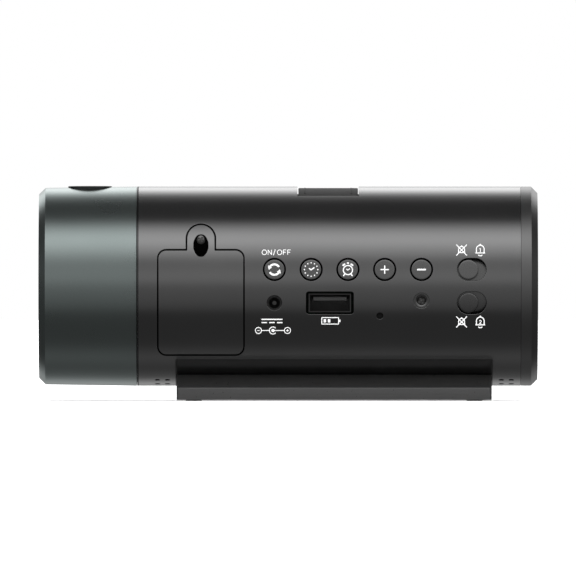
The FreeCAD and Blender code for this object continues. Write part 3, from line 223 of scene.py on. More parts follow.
def depthShadeMask(depth):
    # painted shade: 1 on the barrel's outer skin, 0 (painted near-black) on walls further in than the depth
    # in millimetres, and in between on the walls beside the stand and on the barrel's end in the seam
    def share(finish):
        x, y, z = (finish.place(axis) for axis in "XYZ")
        up = z - barrel["axisHeight"] * metre
        reach = finish.maths("SQRT", y * y + up * up)
        along = finish.maths("ABSOLUTE", x - barrel["notchMiddle"] * metre)
        notch = (z < barrel["notchTop"] * metre) * (along < barrel["notchHalf"] * metre)
        skin = reach > (barrel["radius"] - depth) * metre
        keptLacquer = barrel["seamUnshadedShare"]
        # the barrel's end in the seam is partly painted near-black as shade
        seamShadeFactor = (x > barrel["seamEnd"] * metre) * (1 - keptLacquer) + keptLacquer
        return (skin + notch * (barrel["notchUnshadedShare"] - skin)) * seamShadeFactor
    return share


def seamShadeMask(finish):
    # 0, painted near-black as shade, on the head's end face and lip, which lie in the seam beside the barrel
    return finish.place("X") < barrel["seamAt"] * metre


def lacquerPaint(finish):
    cloud = finish.spread(55)
    peel = finish.spread(900, detail=1.0)  # the faint waviness of sprayed lacquer
    return {
        "Base Color": finish.blend(cloud, (0.285, 0.285, 0.287), (0.315,) * 3),
        "Roughness": cloud * 0.05 + 0.185,
        "Normal": finish.bumps(peel, 0.06, 0.00004),
    }


def headPaint(finish):
    grain = finish.spread(5200, detail=3.0)  # the sparkle of blasted and dyed metal
    cloud = finish.spread(90)
    return {
        "Base Color": finish.blend(grain, (0.34, 0.40, 0.392), (0.44, 0.50, 0.49)),
        "Roughness": cloud * 0.05 + 0.255,
        "Normal": finish.bumps(grain, 0.22, 0.00003),
    }


def mouldPaint(dark, light, grainScale, roughness, depth):
    # moulded plastic: fine spark grain with slow changes of shade
    def paint(finish):
        grain = finish.spread(grainScale, detail=3.0)
        cloud = finish.spread(140)
        return {
            "Base Color": finish.blend(cloud * 0.7 + grain * 0.3, dark, light),
            "Roughness": grain * 0.12 + (roughness - 0.06),
            "Normal": finish.bumps(grain, depth, 0.00004),
        }
    return paint


def grainPaint(dark, light, scale, stretch, detail, smoothest, span, depth, distance=0.00002):
    # one noise changes the shade, the roughness and the height together
    def paint(finish):
        grain = finish.spread(scale, stretch, detail)
        return {
            "Base Color": finish.blend(grain, dark, light),
            "Roughness": grain * span + smoothest,
            "Normal": finish.bumps(grain, depth, distance),
        }
    return paint


def boardPaint(finish):
    # solder mask over copper runs, which stand out as slightly lighter bands
    place = finish.node("Mapping", {}, {"Vector": finish.point(), "Rotation": (1.571, 0, 0)})
    shades = {"Color1": (0, 0, 0), "Color2": (1, 1, 1), "Mortar": (0.5, 0.5, 0.5)}
    sizes = {"Scale": 160.0, "Mortar Size": 0.06, "Brick Width": 1.7, "Row Height": 0.32}
    runs = finish.node("TexBrick", {"offset": 0.37, "squash": 0.6, "squash_frequency": 3},
                       {"Vector": place, **shades, **sizes})
    weave = finish.spread(1500, detail=2.0)
    share = finish.node("RGBToBW", {}, {"Color": runs}) * 0.6 + weave * 0.3
    return {
        "Base Color": finish.blend(share, (0.006, 0.055, 0.028), (0.02, 0.13, 0.06)),
        "Roughness": share * 0.1 + 0.3,
        "Normal": finish.bumps(share, 0.3, 0.00004),
    }


def glassPaint(clear, tint):
    # clear: how little the glass covers; dust and smears change it slightly
    def paint(finish):
        smear = finish.spread(130)
        return {
            "Base Color": finish.blend(smear, tint, tuple(t * 1.25 for t in tint)),
            "Alpha": smear * 0.05 + (1 - clear),
            "Roughness": smear * 0.03 + 0.03,
        }
    return paint


plastic = {"IOR": 1.5, "Metallic": 0.0}
metal = {"Metallic": 1.0}
halfMetal = {"IOR": 1.5, "Metallic": 0.7}
coated = {**plastic, "Coat Roughness": 0.02, "Coat Weight": 1.0}
evenly = (1, 1, 1)
keyPaint = grainPaint((0.26,) * 3, (0.3,) * 3, 2200, evenly, 2.0, 0.24, 0.06, 0.06)
# fine turning marks around the axis
capPaint = grainPaint((0.25, 0.25, 0.252), (0.32,) * 3, 3400, (6, 1, 1), 3.0, 0.30, 0.12, 0.15)
rubberPaint = grainPaint((0.010,) * 3, (0.024,) * 3, 1900, evenly, 4.0, 0.62, 0.2, 0.4, 0.00005)
# light and dark bands along the lead's jacket where it was drawn
tubePaint = grainPaint((0.018, 0.018, 0.02), (0.05, 0.05, 0.052), 700, evenly, 2.0, 0.4, 0.1, 0.0)
moulds = {  # material, what it is, its dark and light shade, grain per metre, roughness, depth of the grain
    "stand_satin": ("standSatin", halfMetal, (0.165,) * 3, (0.20,) * 3, 1700, 0.30, 0.12),
    "snooze_satin": ("snoozeSatin", {**plastic, "Specular IOR Level": 0.25}, (0.013,) * 3, (0.022,) * 3, 1500,
                     0.62, 0.3),
    "inner_plastic": ("innerPlastic", plastic, (0.022, 0.022, 0.024), (0.045, 0.045, 0.047), 1300, 0.5, 0.3),
    "socket_black": ("socketBlack", plastic, (0.007,) * 3, (0.016,) * 3, 2000, 0.34, 0.2),
    "bezel_black": ("bezelBlack", plastic, (0.008, 0.010, 0.010), (0.016, 0.02, 0.02), 2200, 0.3, 0.12),
    "tongue_white": ("tongueGrey", plastic, (0.034,) * 3, (0.055,) * 3, 1500, 0.4, 0.15),
    "display_face": ("displayFace", plastic, (0.006, 0.006, 0.008), (0.014, 0.014, 0.017), 900, 0.25, 0.05),
}
steels = {  # material, its dark and light shade, roughness
    "screw_steel": ("screwSteel", (0.30,) * 3, (0.46, 0.46, 0.45), 0.36),
    "contact_metal": ("contactNickel", (0.55, 0.53, 0.48), (0.74, 0.72, 0.66), 0.3),
    "socket_metal": ("socketShell", (0.10,) * 3, (0.17,) * 3, 0.38),
    "cell_metal": ("cellSteel", (0.5,) * 3, (0.68, 0.68, 0.67), 0.28),
    "sink_aluminium": ("sinkAluminium", (0.5, 0.5, 0.51), (0.68, 0.68, 0.69), 0.44),
}
# the lacquer, key and knob finishes turn to painted near-black shade deeper in their openings, the head's in
# the seam
finishes = {
    "housing_gloss": newMaterial("bodyLacquer", metal, lacquerPaint, depthShadeMask(0.22)),
    "head_satin": newMaterial("headGreenGrey", metal, headPaint, seamShadeMask),
    "cap_satin": newMaterial("capSatinGrey", metal, capPaint),
    "key_satin": newMaterial("keySatin", metal, keyPaint, depthShadeMask(0.3)),
    "knob_satin": newMaterial("knobSatin", metal, keyPaint, depthShadeMask(2.5)),
    "foot_rubber": newMaterial("footRubber", plastic, rubberPaint),
    "circuit_board": newMaterial("circuitBoard", plastic, boardPaint),
    "lead_jacket": newMaterial("leadJacket", plastic, tubePaint),
    "window_smoke": newMaterial("windowSmoke", plastic, glassPaint(0.62, (0.010, 0.010, 0.012))),
    "lens_glass": newMaterial("lensGlass", coated, glassPaint(0.7, (0.03, 0.045, 0.045))),
}
for slotName, (name, kind, *values) in moulds.items():
    finishes[slotName] = newMaterial(name, kind, mouldPaint(*values))
for slotName, (name, dark, light, roughness) in steels.items():
    paint = grainPaint(dark, light, 2600, (1, 1, 7), 4.0, roughness - 0.08, 0.16, 0.1)
    finishes[slotName] = newMaterial(name, metal, paint)
print("finishes:", len(finishes))

# nodes unlike the rest of their slot; the power inlet's pin takes the dark socket metal as painted shade deep
# in its hole
ownFinish = {"snooze_key": "snooze_satin", "power_inlet_pin": "socket_metal", "reset_plunger": "socket_black"}
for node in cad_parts.values():
    slotName = node.data.materials[0].name.split(".")[0]
    node.material_slots[0].material = finishes[ownFinish.get(node.name, slotName)]


# Printed marks: strokes swept along a path and laid on the barrel's skin

ink = {
    "white": (0.86, 0.87, 0.87),
    "spacing": 0.22,  # of the points along a stroke
    "letterHeight": 1.5,
    "letterStroke": 0.22,
    "letterWidths": {"O": 1.4, "N": 1.1, "/": 0.85, "F": 0.9},
}


def inkPaint(finish):
    wear = finish.spread(1500, detail=3.0)
    return {
        "Base Color": finish.blend(wear, (0.74, 0.75, 0.75), ink["white"]),
        "Roughness": wear * 0.2 + 0.35,
        # painted glow: the print gives off light of its own, though it is no lamp
        "Emission Color": finish.blend(wear, (0.5, 0.5, 0.5), (0.62, 0.62, 0.62)),
    }


# the white print is made to glow with painted light
finishes["ink"] = newMaterial("whiteInkPaintedGlow", {"Emission Strength": 0.75}, inkPaint)


def skinY(z, lift):
    # the keys' side of the barrel: half a circle of the barrel's radius plus the lift
    return -np.sqrt((barrel["radius"] + lift) ** 2 - (z - barrel["axisHeight"]) ** 2)


def skinRing(flat, depth):
    # a flat outline laid on the keys' side of the barrel, this far below the skin
    return np.column_stack([flat[:, 0], skinY(flat[:, 1], -depth), flat[:, 1]])


def refined(path, spacing, closed=True):
    # the same line with points no further apart than the spacing
    path = np.asarray(path, float)
    ends = np.roll(path, -1, 0) if closed else path[1:]
    starts = path if closed else path[:-1]
    counts = np.maximum(1, np.ceil(np.linalg.norm(ends - starts, axis=1) / spacing)).astype(int)
    pieces = [a + (b - a) * np.arange(n)[:, None] / n for a, b, n in zip(starts, ends, counts)]
    return np.concatenate(pieces + ([] if closed else [path[-1:]]))


def stroke(path, width, closed=False, taper=1.0):
    # a flat bar carried along the path: across it, up on the ink's face and back underneath
    path = refined(path, ink["spacing"], closed)
    along = np.roll(path, -1, 0) - np.roll(path, 1, 0) if closed else np.gradient(path, axis=0)
    along /= np.linalg.norm(along, axis=1, keepdims=True)
    side = np.stack([-along[:, 1], along[:, 0]], 1) * (width / 2 * np.linspace(1, taper, len(path)))[:, None]
    section = np.array([(-1, 1), (0, 1), (1, 1), (1, 0), (-1, 0)])  # share of the side, face or underside
    flat = path[:, None] + side[:, None] * section[:, 0, None]
    level = np.broadcast_to(section[:, 1, None], (*flat.shape[:2], 1))
    faces = gridFaces(len(path), len(section), rowsJoin=closed)
    if not closed:
        last = (len(path) - 1) * len(section)
        faces += [list(range(len(section)))[::-1], list(range(last, last + len(section)))]
    return np.concatenate([flat, level], 2).reshape(-1, 3), faces


def circle(radius, count=56):
    turn = np.arange(count) * 2 * np.pi / count
    return np.stack([np.cos(turn), np.sin(turn)], 1) * radius


def spot(centre, radius, corners=10):
    # a filled disc: fans above and below, joined by a rim
    ring = circle(radius, corners)
    rows = np.stack([ring * 0, ring, ring, ring * 0]) + centre
    level = np.broadcast_to(np.array([1, 1, 0, 0])[:, None, None], (4, corners, 1))
    return np.concatenate([rows, level], 2).reshape(-1, 3), gridFaces(4, corners)


def arc(centre, radius, start, end, steps=24):
    turn = np.radians(np.linspace(start, end, steps))
    return np.stack([np.cos(turn), np.sin(turn)], 1) * radius + centre


def printMark(name, shapes, x, z, body, sink=0.0):
    # lays flat shapes on the skin, sunk as far as the key that they are printed on
    laid = []
    for flat, faces in shapes:
        lift = (flat[:, 2] * 1.5 - 0.5) * barrel["inkThickness"] - sink
        laid.append((skinRing(flat[:, :2] + (x, z), -lift), faces))
    putMesh(name, together(*laid), body, None, "ink", smooth=False)


def glyph(letter, w, h):
    # the strokes of one letter or figure of this width and height, and whether each one closes
    return {
        "O": [(arc((0, 0), 0.5, 0, 345, 24) * (w, h) + (w / 2, h / 2), True)],
        "N": [([(0, 0), (0, h), (w, 0), (w, h)], False)],
        "F": [([(0, 0), (0, h), (w, h)], False), ([(0, h * 0.52), (w * 0.85, h * 0.52)], False)],
        "/": [([(w * 0.1, -h * 0.12), (w * 0.8, h * 1.1)], False)],
        "1": [([(w * 0.2, h * 0.78), (w * 0.55, h), (w * 0.55, 0)], False)],
        "2": [([*arc((w / 2, h * 0.68), w * 0.42, 170, -40, 12), (w * 0.08, 0), (w * 0.95, 0)], False)],
    }[letter]


def letters(text, height, gap, width=None):
    # plain letters and figures drawn with single strokes, centred on 0, 0
    widths = [width or ink["letterWidths"][letter] for letter in text]
    left = -(sum(widths) + gap * (len(text) - 1)) / 2
    shapes = []
    for letter, wide in zip(text, widths):
        for path, closed in glyph(letter, wide, height):
            shapes.append(stroke(np.asarray(path) + (left, -height / 2), ink["letterStroke"], closed))
        left += wide + gap
    return shapes


def ringArrows():
    # two arrows chasing each other round a circle
    shapes = []
    for start in (30, 210):
        shapes.append(stroke(arc((0, 0), 1.62, start, start + 118), 0.6))
        tip = arc((0, 0), 1.62, start + 114, start + 152, 8)
        shapes.append(stroke(tip, 1.36, taper=0.05))
    return shapes


def clockDots():
    hands = stroke([(-0.68, 0.42), (-0.06, -0.1), (1.0, 0.62)], 0.36)
    return [spot(place, 0.21) for place in circle(2.08, 12)] + [hands]


def alarmClock():
    middle = (0, -0.15)
    shapes = [stroke(arc(middle, 1.42, 0, 360, 49)[:-1], 0.34, closed=True),
              stroke([(-0.5, 0.2), (-0.05, -0.2), (0.6, 0.32)], 0.28),
              stroke([(-0.32, 2.0), (0.32, 2.0)], 0.42)]
    for side in (-1, 1):
        shapes.append(stroke([(side * 0.95, -1.38), (side * 1.42, -2.02)], 0.36))
        hood = arc(middle, 2.08, 40, 66, 8)
        shapes.append(stroke(hood * (side, 1), 0.5))
    return shapes


def plusSign():
    return [stroke([(-1.28, 0), (1.28, 0)], 0.36), stroke([(0, -1.28), (0, 1.28)], 0.36)]


def minusSign():
    return [stroke([(-1.36, 0), (1.36, 0)], 0.48)]


def bell(figure):
    # a dome on a flat rim with its clapper below and the alarm's number inside
    dome = [(-1.2, -0.86), *arc((0, 0.3), 1.2, 180, 0, 16), (1.2, -0.86)]
    shapes = [stroke([(-1.5, -0.9), (1.5, -0.9)], 0.3), stroke(dome, 0.3), spot((0, 1.68), 0.26),
              stroke(arc((0, -1.05), 0.74, 215, 325, 8), 0.3)]
    return shapes + letters(figure, 1.1, 0.2, 0.72)


def silentBell():
    # the same bell, smaller, under a cross
    dome = [(-0.92, -0.74), *arc((0, 0.16), 0.92, 180, 0, 14), (0.92, -0.74)]
    shapes = [stroke([(-1.1, -0.78), (1.1, -0.78)], 0.28), stroke(dome, 0.28), spot((0, 1.22), 0.24)]
    return shapes + [stroke([(-1.65, -1.7), (1.65, 1.7)], 0.28), stroke([(-1.65, 1.7), (1.65, -1.7)], 0.28)]


def directCurrent():
    # a line over three dashes
    dashes = [stroke([(x - 0.85, -0.55), (x + 0.85, -0.55)], 0.34) for x in (-2.4, 0, 2.4)]
    return [stroke([(-3.25, 0.45), (3.25, 0.45)], 0.34)] + dashes


def plugPoles():
    # which way round the plug is wired: minus, the open ring, the pin, plus
    shapes = [spot((0, 0), 0.5), stroke(arc((0, 0), 1.1, 40, 320, 24), 0.26),
              stroke([(0, 0), (3.55, 0)], 0.24), stroke([(-1.1, 0), (-3.55, 0)], 0.24),
              stroke([(-4.9, 0), (-4.1, 0)], 0.22), stroke([(4.1, 0), (4.9, 0)], 0.22),
              stroke([(4.5, -0.4), (4.5, 0.4)], 0.22)]
    for side in (-1, 1):
        shapes.append(stroke(arc((side * 4.5, 0), 0.95, 0, 360, 33)[:-1], 0.24, closed=True))
    return shapes


def chargeOut():
    # a battery filling up: case, pole and two bars
    case = [(-2.6, -1.0), (2.6, -1.0), (2.6, 1.0), (-2.6, 1.0)]
    bars = [stroke([(x, -0.5), (x, 0.5)], 0.75) for x in (-1.65, -0.35)]
    return [stroke(case, 0.26, closed=True), stroke([(2.95, -0.4), (2.95, 0.4)], 0.42)] + bars


marks = {  # printed shapes, then millimetres along the barrel and above the table
    "mark_on_off": (letters("ON/OFF", ink["letterHeight"], 0.46), -3.7, 46.1),
    "mark_direct_current": (directCurrent(), -5.05, 24.85),
    "mark_plug_poles": (plugPoles(), -4.75, 21.85),
    "mark_charge_out": (chargeOut(), 13.0, 24.85),
    "mark_alarm_one_off": (silentBell(), 53.75, 46.8),
    "mark_alarm_one_on": (bell("1"), 59.55, 46.8),
    "mark_alarm_two_off": (silentBell(), 53.75, 24.5),
    "mark_alarm_two_on": (bell("2"), 59.55, 24.5),
}
for name, (shapes, x, z) in marks.items():
    printMark(name, shapes, x, z, "main_body")
print("printed marks:", len(marks))


# Pieces stacked up from rings

def stack(rows):
    # rings of points from one end of a piece to the other; each end is closed at its middle
    rows = np.asarray(rows, float)
    count = rows.shape[1]
    corner = np.arange(count)
    following = (corner + 1) % count
    low = len(rows) * count
    faces = gridFaces(len(rows), count)
    faces += np.stack([following, corner, np.full(count, low)], 1).tolist()
    faces += np.stack([low - count + corner, low - count + following, np.full(count, low + 1)], 1).tolist()
    return np.vstack([rows.reshape(-1, 3), rows[[0, -1]].mean(1)]), faces


def hoop(rows):
    # rings of points joined one to the next and the last to the first
    rows = np.asarray(rows, float)
    return rows.reshape(-1, 3), gridFaces(len(rows), rows.shape[1], rowsJoin=True)


def roundedOutline(width, height, corner, steps=6):
    # a rectangle whose corners are quarter circles, centred on 0, 0
    centres = np.array([(1, 1), (-1, 1), (-1, -1), (1, -1)]) * (width / 2 - corner, height / 2 - corner)
    return np.vstack([arc(centre, corner, 90 * i, 90 * i + 90, steps) for i, centre in enumerate(centres)])


def rimRows(radius, steps=5):
    # how far in and how far down a rounded edge is, from its wall to its face
    turn = np.linspace(0, np.pi / 2, steps)
    return np.stack([radius * (1 - np.cos(turn)), radius * (1 - np.sin(turn))], 1)


def flatRing(outline, x, y, z):
    # the outline standing upright at one depth behind the keys' side
    return np.column_stack([outline[:, 0] + x, np.full(len(outline), y), outline[:, 1] + z])


def levelRing(outline, x, y, z):
    return np.column_stack([outline + (x, y), np.full(len(outline), z)])


def skinCap(outline, x, z, sink, rim, wallY, shares=(0.86, 0.68, 0.48, 0.26)):
    # rings of a cap whose face follows the barrel: wall, rounded edge, then the face in to the middle
    half = np.abs(outline).max(0)
    rows = [flatRing(outline, x, wallY, z)]
    rows += [skinRing(outline * (1 - inset / half) + (x, z), sink + drop) for inset, drop in rimRows(rim)]
    rows += [skinRing(outline * (1 - rim / half) * share + (x, z), sink) for share in shares]
    return rows


keys = {
    "holeRadius": 3.55,
    "capRadius": 3.1,
    "flangeRadius": 4.1,
    "stemRadius": 1.2,
    "flangeFace": -27.185,
    "flangeBack": -26.385,
    "sink": 0.1,
    "rim": 0.16,
    "row": 40.75,
    # place along X and symbol
    "faces": {"projection_key": (-4.3, ringArrows), "clock_key": (7.1, clockDots),
              "alarm_key": (18.5, alarmClock), "plus_key": (29.9, plusSign), "minus_key": (41.3, minusSign)},
}


def makeKey(node, x, symbol):
    z, flangeFace, flangeBack = keys["row"], keys["flangeFace"], keys["flangeBack"]
    stem, flange = circle(keys["stemRadius"]), circle(keys["flangeRadius"])
    stemEnd = nodeBox(node)[1][1]
    rows = [flatRing(stem, x, stemEnd, z), flatRing(stem, x, flangeBack, z),
            flatRing(flange, x, flangeBack, z), flatRing(flange, x, flangeFace, z)]
    rows += skinCap(circle(keys["capRadius"]), x, z, keys["sink"], keys["rim"], flangeFace)
    piece = putMesh(node + "_cap", stack(rows), node, "key_satin")
    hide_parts(node)
    printMark("mark_on_" + node, symbol(), x, z, node, keys["sink"])


for node, (x, symbol) in keys["faces"].items():
    makeKey(node, x, symbol)
print("keys:", len(keys["faces"]))

knobs = {
    "capRadius": 3.05,
    "sink": 0.1,
    "rim": 0.22,
    "plateSink": 2.3,  # the sliding plate follows the inside of the wall
    "slotMiddle": 56.9,
    "slotLength": 9.1,
    "slotHeight": 7.0,
    "restOffset": 1.05,  # how far each knob rests from its slot's middle
    "spacing": 0.6,
    "rows": {"alarm_one_knob": 40.75, "alarm_two_knob": 30.4},
}


def bar(x, y, z, corner=0.3):
    # a block with rounded upright edges, from its two limits along each direction
    outline = roundedOutline(x[1] - x[0], z[1] - z[0], corner)
    middle = ((x[0] + x[1]) / 2, (z[0] + z[1]) / 2)
    return stack([flatRing(outline, middle[0], level, middle[1]) for level in y])


def makeKnob(node, z):
    low, high = nodeBox(node)
    x = knobs["slotMiddle"] - knobs["restOffset"]
    wallY, back = keys["flangeFace"] + 0.01, keys["flangeBack"]
    cap = stack(skinCap(circle(knobs["capRadius"]), x, z, knobs["sink"], knobs["rim"], wallY))
    plate = refined(roundedOutline(high[0] - low[0], high[2] - low[2], 0.3), knobs["spacing"])
    middle, shares = (low[0] + high[0]) / 2, np.linspace(0.96, 0.04, 14)
    plateRows = skinCap(plate, middle, z, knobs["plateSink"], 0.1, wallY, shares)
    flange = stack([flatRing(plate, middle, back, z), *plateRows])
    lever = bar((x - 1, x + 1), (high[1], back + 0.2), (z - 1, z + 1), 0.2)
    piece = putMesh(node + "_slider", together(cap, flange, lever), node, "key_satin", "knob_satin")
    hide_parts(node)


for node, z in knobs["rows"].items():
    makeKnob(node, z)
print("knobs:", len(knobs["rows"]))

snooze = {
    "length": 18.5,
    "width": 25.8,
    "corner": 0.7,
    "sink": 0.45,
    "rim": 0.3,
    "thickness": 3.35,
    "middle": 12.4,
    "postRadius": 2.0,
    "postHeight": 4.5,
    "lugDepths": (3.8, 2.3),  # below the barrel's skin
    "spacing": 0.8,
    "ribs": (-7.2, 7.2),  # two raised lines across the key that a finger can feel
    "ribWidth": 0.5,
    "ribShare": 0.8,  # of the key's width
}


def topRing(outline, x, lift):
    # the outline laid over the barrel's top, this far above the skin
    height = np.sqrt((barrel["radius"] + lift) ** 2 - outline[:, 1] ** 2)
    return np.column_stack([outline[:, 0] + x, outline[:, 1], barrel["axisHeight"] + height])


def makeSnooze():
    # a curved plate with rounded edges, wider lugs under the wall, the post below and the ribs on top
    low, high = nodeBox("snooze_key")
    x, sink, rim, spacing = snooze["middle"], snooze["sink"], snooze["rim"], snooze["spacing"]
    outline = refined(roundedOutline(snooze["length"], snooze["width"], snooze["corner"]), spacing)
    half = np.abs(outline).max(0)
    rows = [topRing(outline, x, -sink - snooze["thickness"])]
    rows += [topRing(outline * (1 - inset / half), x, -sink - drop) for inset, drop in rimRows(rim)]
    rows += [topRing(outline * (1 - rim / half) * share, x, -sink) for share in np.linspace(0.97, 0.03, 24)]
    lugs = refined(roundedOutline(high[0] - low[0], snooze["width"] / 2, 0.4), spacing)
    post = circle(snooze["postRadius"], 40)
    postEnds = (low[2], low[2] + snooze["postHeight"])
    shapes = [stack(rows), stack([topRing(lugs, x, -depth) for depth in snooze["lugDepths"]]),
              stack([levelRing(post, x, 0, level) for level in postEnds])]
    rib = refined(roundedOutline(snooze["ribWidth"], snooze["width"] * snooze["ribShare"], 0.24), spacing)
    narrow = rib * (1 - 0.12 / np.abs(rib).max(0))
    for offset in snooze["ribs"]:
        steps = ((rib, -0.2), (rib, 0.05), (narrow, 0.14))
        shapes.append(stack([topRing(ring, x + offset, rise - sink) for ring, rise in steps]))
    piece = putMesh("snooze_bar", together(*shapes), "snooze_key", "key_satin", "snooze_satin")
    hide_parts("snooze_key")


makeSnooze()

stand = {
    "halfWidth": 22.5,
    "topHalf": 14.5,
    "top": 8.1,
    "shoulder": 4.0,
    "lift": 0.4,
    "rimFoot": 0.25,  # the outer rim reaches a little lower than the cover
    "wall": 2.0,
    "edge": 0.42,
    "corner": 1.3,
    "coverGap": 0.05,
    "coverDepth": 1.62,
    "hollowRise": 0.4,
    "bevel": 0.15,
}


def makeStand():
    # level rings: up the hollow's inside, round the foot of the rim, up the outside and over the slope
    low, high = nodeBox("stand_base")
    cover = (nodeBox("base_cover")[1] - nodeBox("base_cover")[0]) / 2 + stand["coverGap"]
    middle, half = (low[0] + high[0]) / 2, (high[0] - low[0]) / 2
    wide, wall, edge, bevel = stand["halfWidth"], stand["wall"], stand["edge"], stand["bevel"]
    top, topHalf, shoulder = stand["top"], stand["topHalf"], stand["shoulder"]
    lift, foot = stand["lift"], stand["rimFoot"]
    levels = [(half - wall, topHalf - wall, top - wall),
              (half - wall, wide - wall, shoulder - wall + stand["hollowRise"]),
              (*cover[:2], lift + stand["coverDepth"]), (*cover[:2], lift),
              (half - wall / 2, wide - wall / 2, foot), (half - bevel, wide - bevel, foot),
              (half, wide, foot + bevel)]
    slope = math.atan2(top - shoulder, wide - topHalf)
    for turn in np.linspace(0, math.pi / 2 - slope, 5):  # the rounded upper edge of the rim
        levels.append((half, wide - edge * (1 - math.cos(turn)), shoulder + edge * (math.sin(turn) - 0.5)))
    levels += [(half, topHalf + 0.2, top - 0.1), (half, topHalf, top)]
    rows = [levelRing(roundedOutline(halfX * 2, halfY * 2, stand["corner"]), middle, 0, z)
            for halfX, halfY, z in levels]
    piece = putMesh("stand_moulding", stack(rows), "main_body", "stand_satin")
    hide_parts("stand_base")


makeStand()

feet = {
    "radius": 2.55,
    "height": 1.2,
    "rim": 0.35,
    "dimple": [(1.2, 0.0), (0.9, 0.12), (0.4, 0.2)],  # radius and height
    "x": (-29.35, 57.85),
    "y": (-17.05, 17.05),
}


def makeFeet():
    # pads with a rounded lower edge and a shallow dimple
    profile = [(feet["radius"], feet["height"])]
    profile += [(feet["radius"] - inset, drop) for inset, drop in rimRows(feet["rim"])] + feet["dimple"]
    pads = [stack([levelRing(circle(radius, 40), x, y, z) for radius, z in profile])
            for x in feet["x"] for y in feet["y"]]
    piece = putMesh("foot_pads", together(*pads), "main_body", "foot_rubber")
    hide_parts("rubber_feet")


makeFeet()
print("snooze bar, stand and feet")

lens = {
    "x": -61.65,
    "bezelRadius": 6.85,
    "flangeRadius": 8.19,
    "flangeThickness": 1.2,
    "bore": 5.2,
    "seatRadius": 4.4,
    "ridges": 4,
    "ridge": 0.09,
    "lip": 0.3,
    "slopeInset": 0.75,  # the slope down to the glass starts this far inside the ring's edge
    "slopeDrop": 0.35,  # and ends this far below the top of the glass
    "crown": 0.5,  # how much lower the glass is at its edge
}


def turned(profile):
    # rings for a profile of radius and height turned about the lens's upright line
    return [levelRing(circle(radius, 72), lens["x"], 0, height) for radius, height in profile]


def makeLens():
    (low, high), (glassLow, glassHigh) = nodeBox("lens_bezel"), nodeBox("projection_lens")
    radius, bore, seat, flange = lens["bezelRadius"], lens["bore"], lens["seatRadius"], lens["flangeRadius"]
    flangeTop = low[2] + lens["flangeThickness"]
    profile = [(seat, low[2]), (flange, low[2]), (flange, flangeTop), (radius, flangeTop)]
    profile += [(radius - inset, high[2] - drop) for inset, drop in rimRows(lens["lip"])]
    slopeTop, slopeFoot = radius - lens["slopeInset"], glassHigh[2] - lens["slopeDrop"]
    steps = np.linspace(0, 1, lens["ridges"] * 2 + 1)
    for place, share in enumerate(steps):  # fine steps down to the glass, which kill stray light
        ring = slopeTop + (bore + 0.05 - slopeTop) * share
        profile.append((ring + lens["ridge"] * (place % 2), high[2] - (high[2] - slopeFoot) * share))
    profile += [(bore, slopeFoot), (bore, glassLow[2]), (seat, glassLow[2])]
    bezel = putMesh("lens_ring", hoop(turned(profile)), "projector_head", "bezel_black")
    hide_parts("lens_bezel")

    edge = glassHigh[0] - lens["x"]
    profile = [(edge * share, glassLow[2]) for share in (0.5, 1.0)]
    crown, shares = lens["crown"], np.linspace(1, 0.02, 14)
    profile += [(edge * share, glassHigh[2] - crown * share ** 2) for share in shares]
    glass = putMesh("lens_dome", stack(turned(profile)), "projector_head", "lens_glass")
    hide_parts("projection_lens")


makeLens()
print("lens")

screws = {
    "crown": 0.35,
    "slotHalf": 0.17,
    "slotDepth": 0.6,
    "slotEnd": 0.66,  # share of the head's radius
    "thickness": 1.4,
    # for each solid its body, then x, z and face of each head, its radius, the shank's radius,
    # where the shank ends, and the turn of the cross
    "places": {
        "battery_door_screw": ("battery_door", [(-27.1, 50.0, -26.391, 1.4, 0.95, -18.491, 0.5)]),
        "case_screws": ("main_body", [(41.3, 31.1, -28.4, 1.7, 1.25, 6.999, 0.3),
                                      (-35.9, 18.9, -21.149, 1.7, 1.25, 6.999, 1.1)]),
    },
}


def crossHead(x, z, face, headRadius, shankRadius, end, turn):
    # rings from the middle of the crossed head outwards, down its side, then along the shank
    count = 64
    angle = np.arange(count) * 2 * np.pi / count + turn
    rows = []
    for share in np.linspace(0.04, 1, 16):
        near = np.minimum(np.abs(np.cos(angle)), np.abs(np.sin(angle))) * share * headRadius
        inSlot = np.clip((screws["slotHalf"] - near) / 0.07 + 0.5, 0, 1)
        inSlot *= np.clip((screws["slotEnd"] - share) / 0.06, 0, 1)
        sink = screws["crown"] * share ** 2 + screws["slotDepth"] * inSlot
        rows.append(flatRing(circle(share * headRadius, count), x, face + sink, z))
    under = face + screws["thickness"]
    for radius, y in ((headRadius, under), (shankRadius, under), (shankRadius, end)):
        rows.append(flatRing(circle(radius, count), x, y, z))
    return stack(rows)


for node, (body, places) in screws["places"].items():
    heads = together(*(crossHead(*place) for place in places))
    crossed = putMesh(node + "_crossed", heads, body, "screw_steel")
    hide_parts(node)
print("crossed screws")

openings = {  # sunk is how far below the skin a lining starts
    "pocket": {"x": -27.1, "z": 48.2, "width": 4.7, "height": 7.0,
               "rim": 0.2, "depth": 1.2, "sunk": -0.004},
    "socket": {"x": 12.9, "z": 30.4, "width": 14.7, "height": 6.92, "corner": 0.8},
    "well": {"x": 41.3, "z": 31.1, "radius": 2.36, "foot": 1.2, "rim": 0.85, "depth": 2.2, "sunk": 0.3},
}


def radiusAt(outline, turn):
    # how far an outline lies from its middle in each direction
    outline = refined(outline, 0.05)
    heading = np.arctan2(outline[:, 1], outline[:, 0])
    order = np.argsort(heading)
    return np.interp(turn, heading[order], np.linalg.norm(outline, axis=1)[order], period=2 * np.pi)


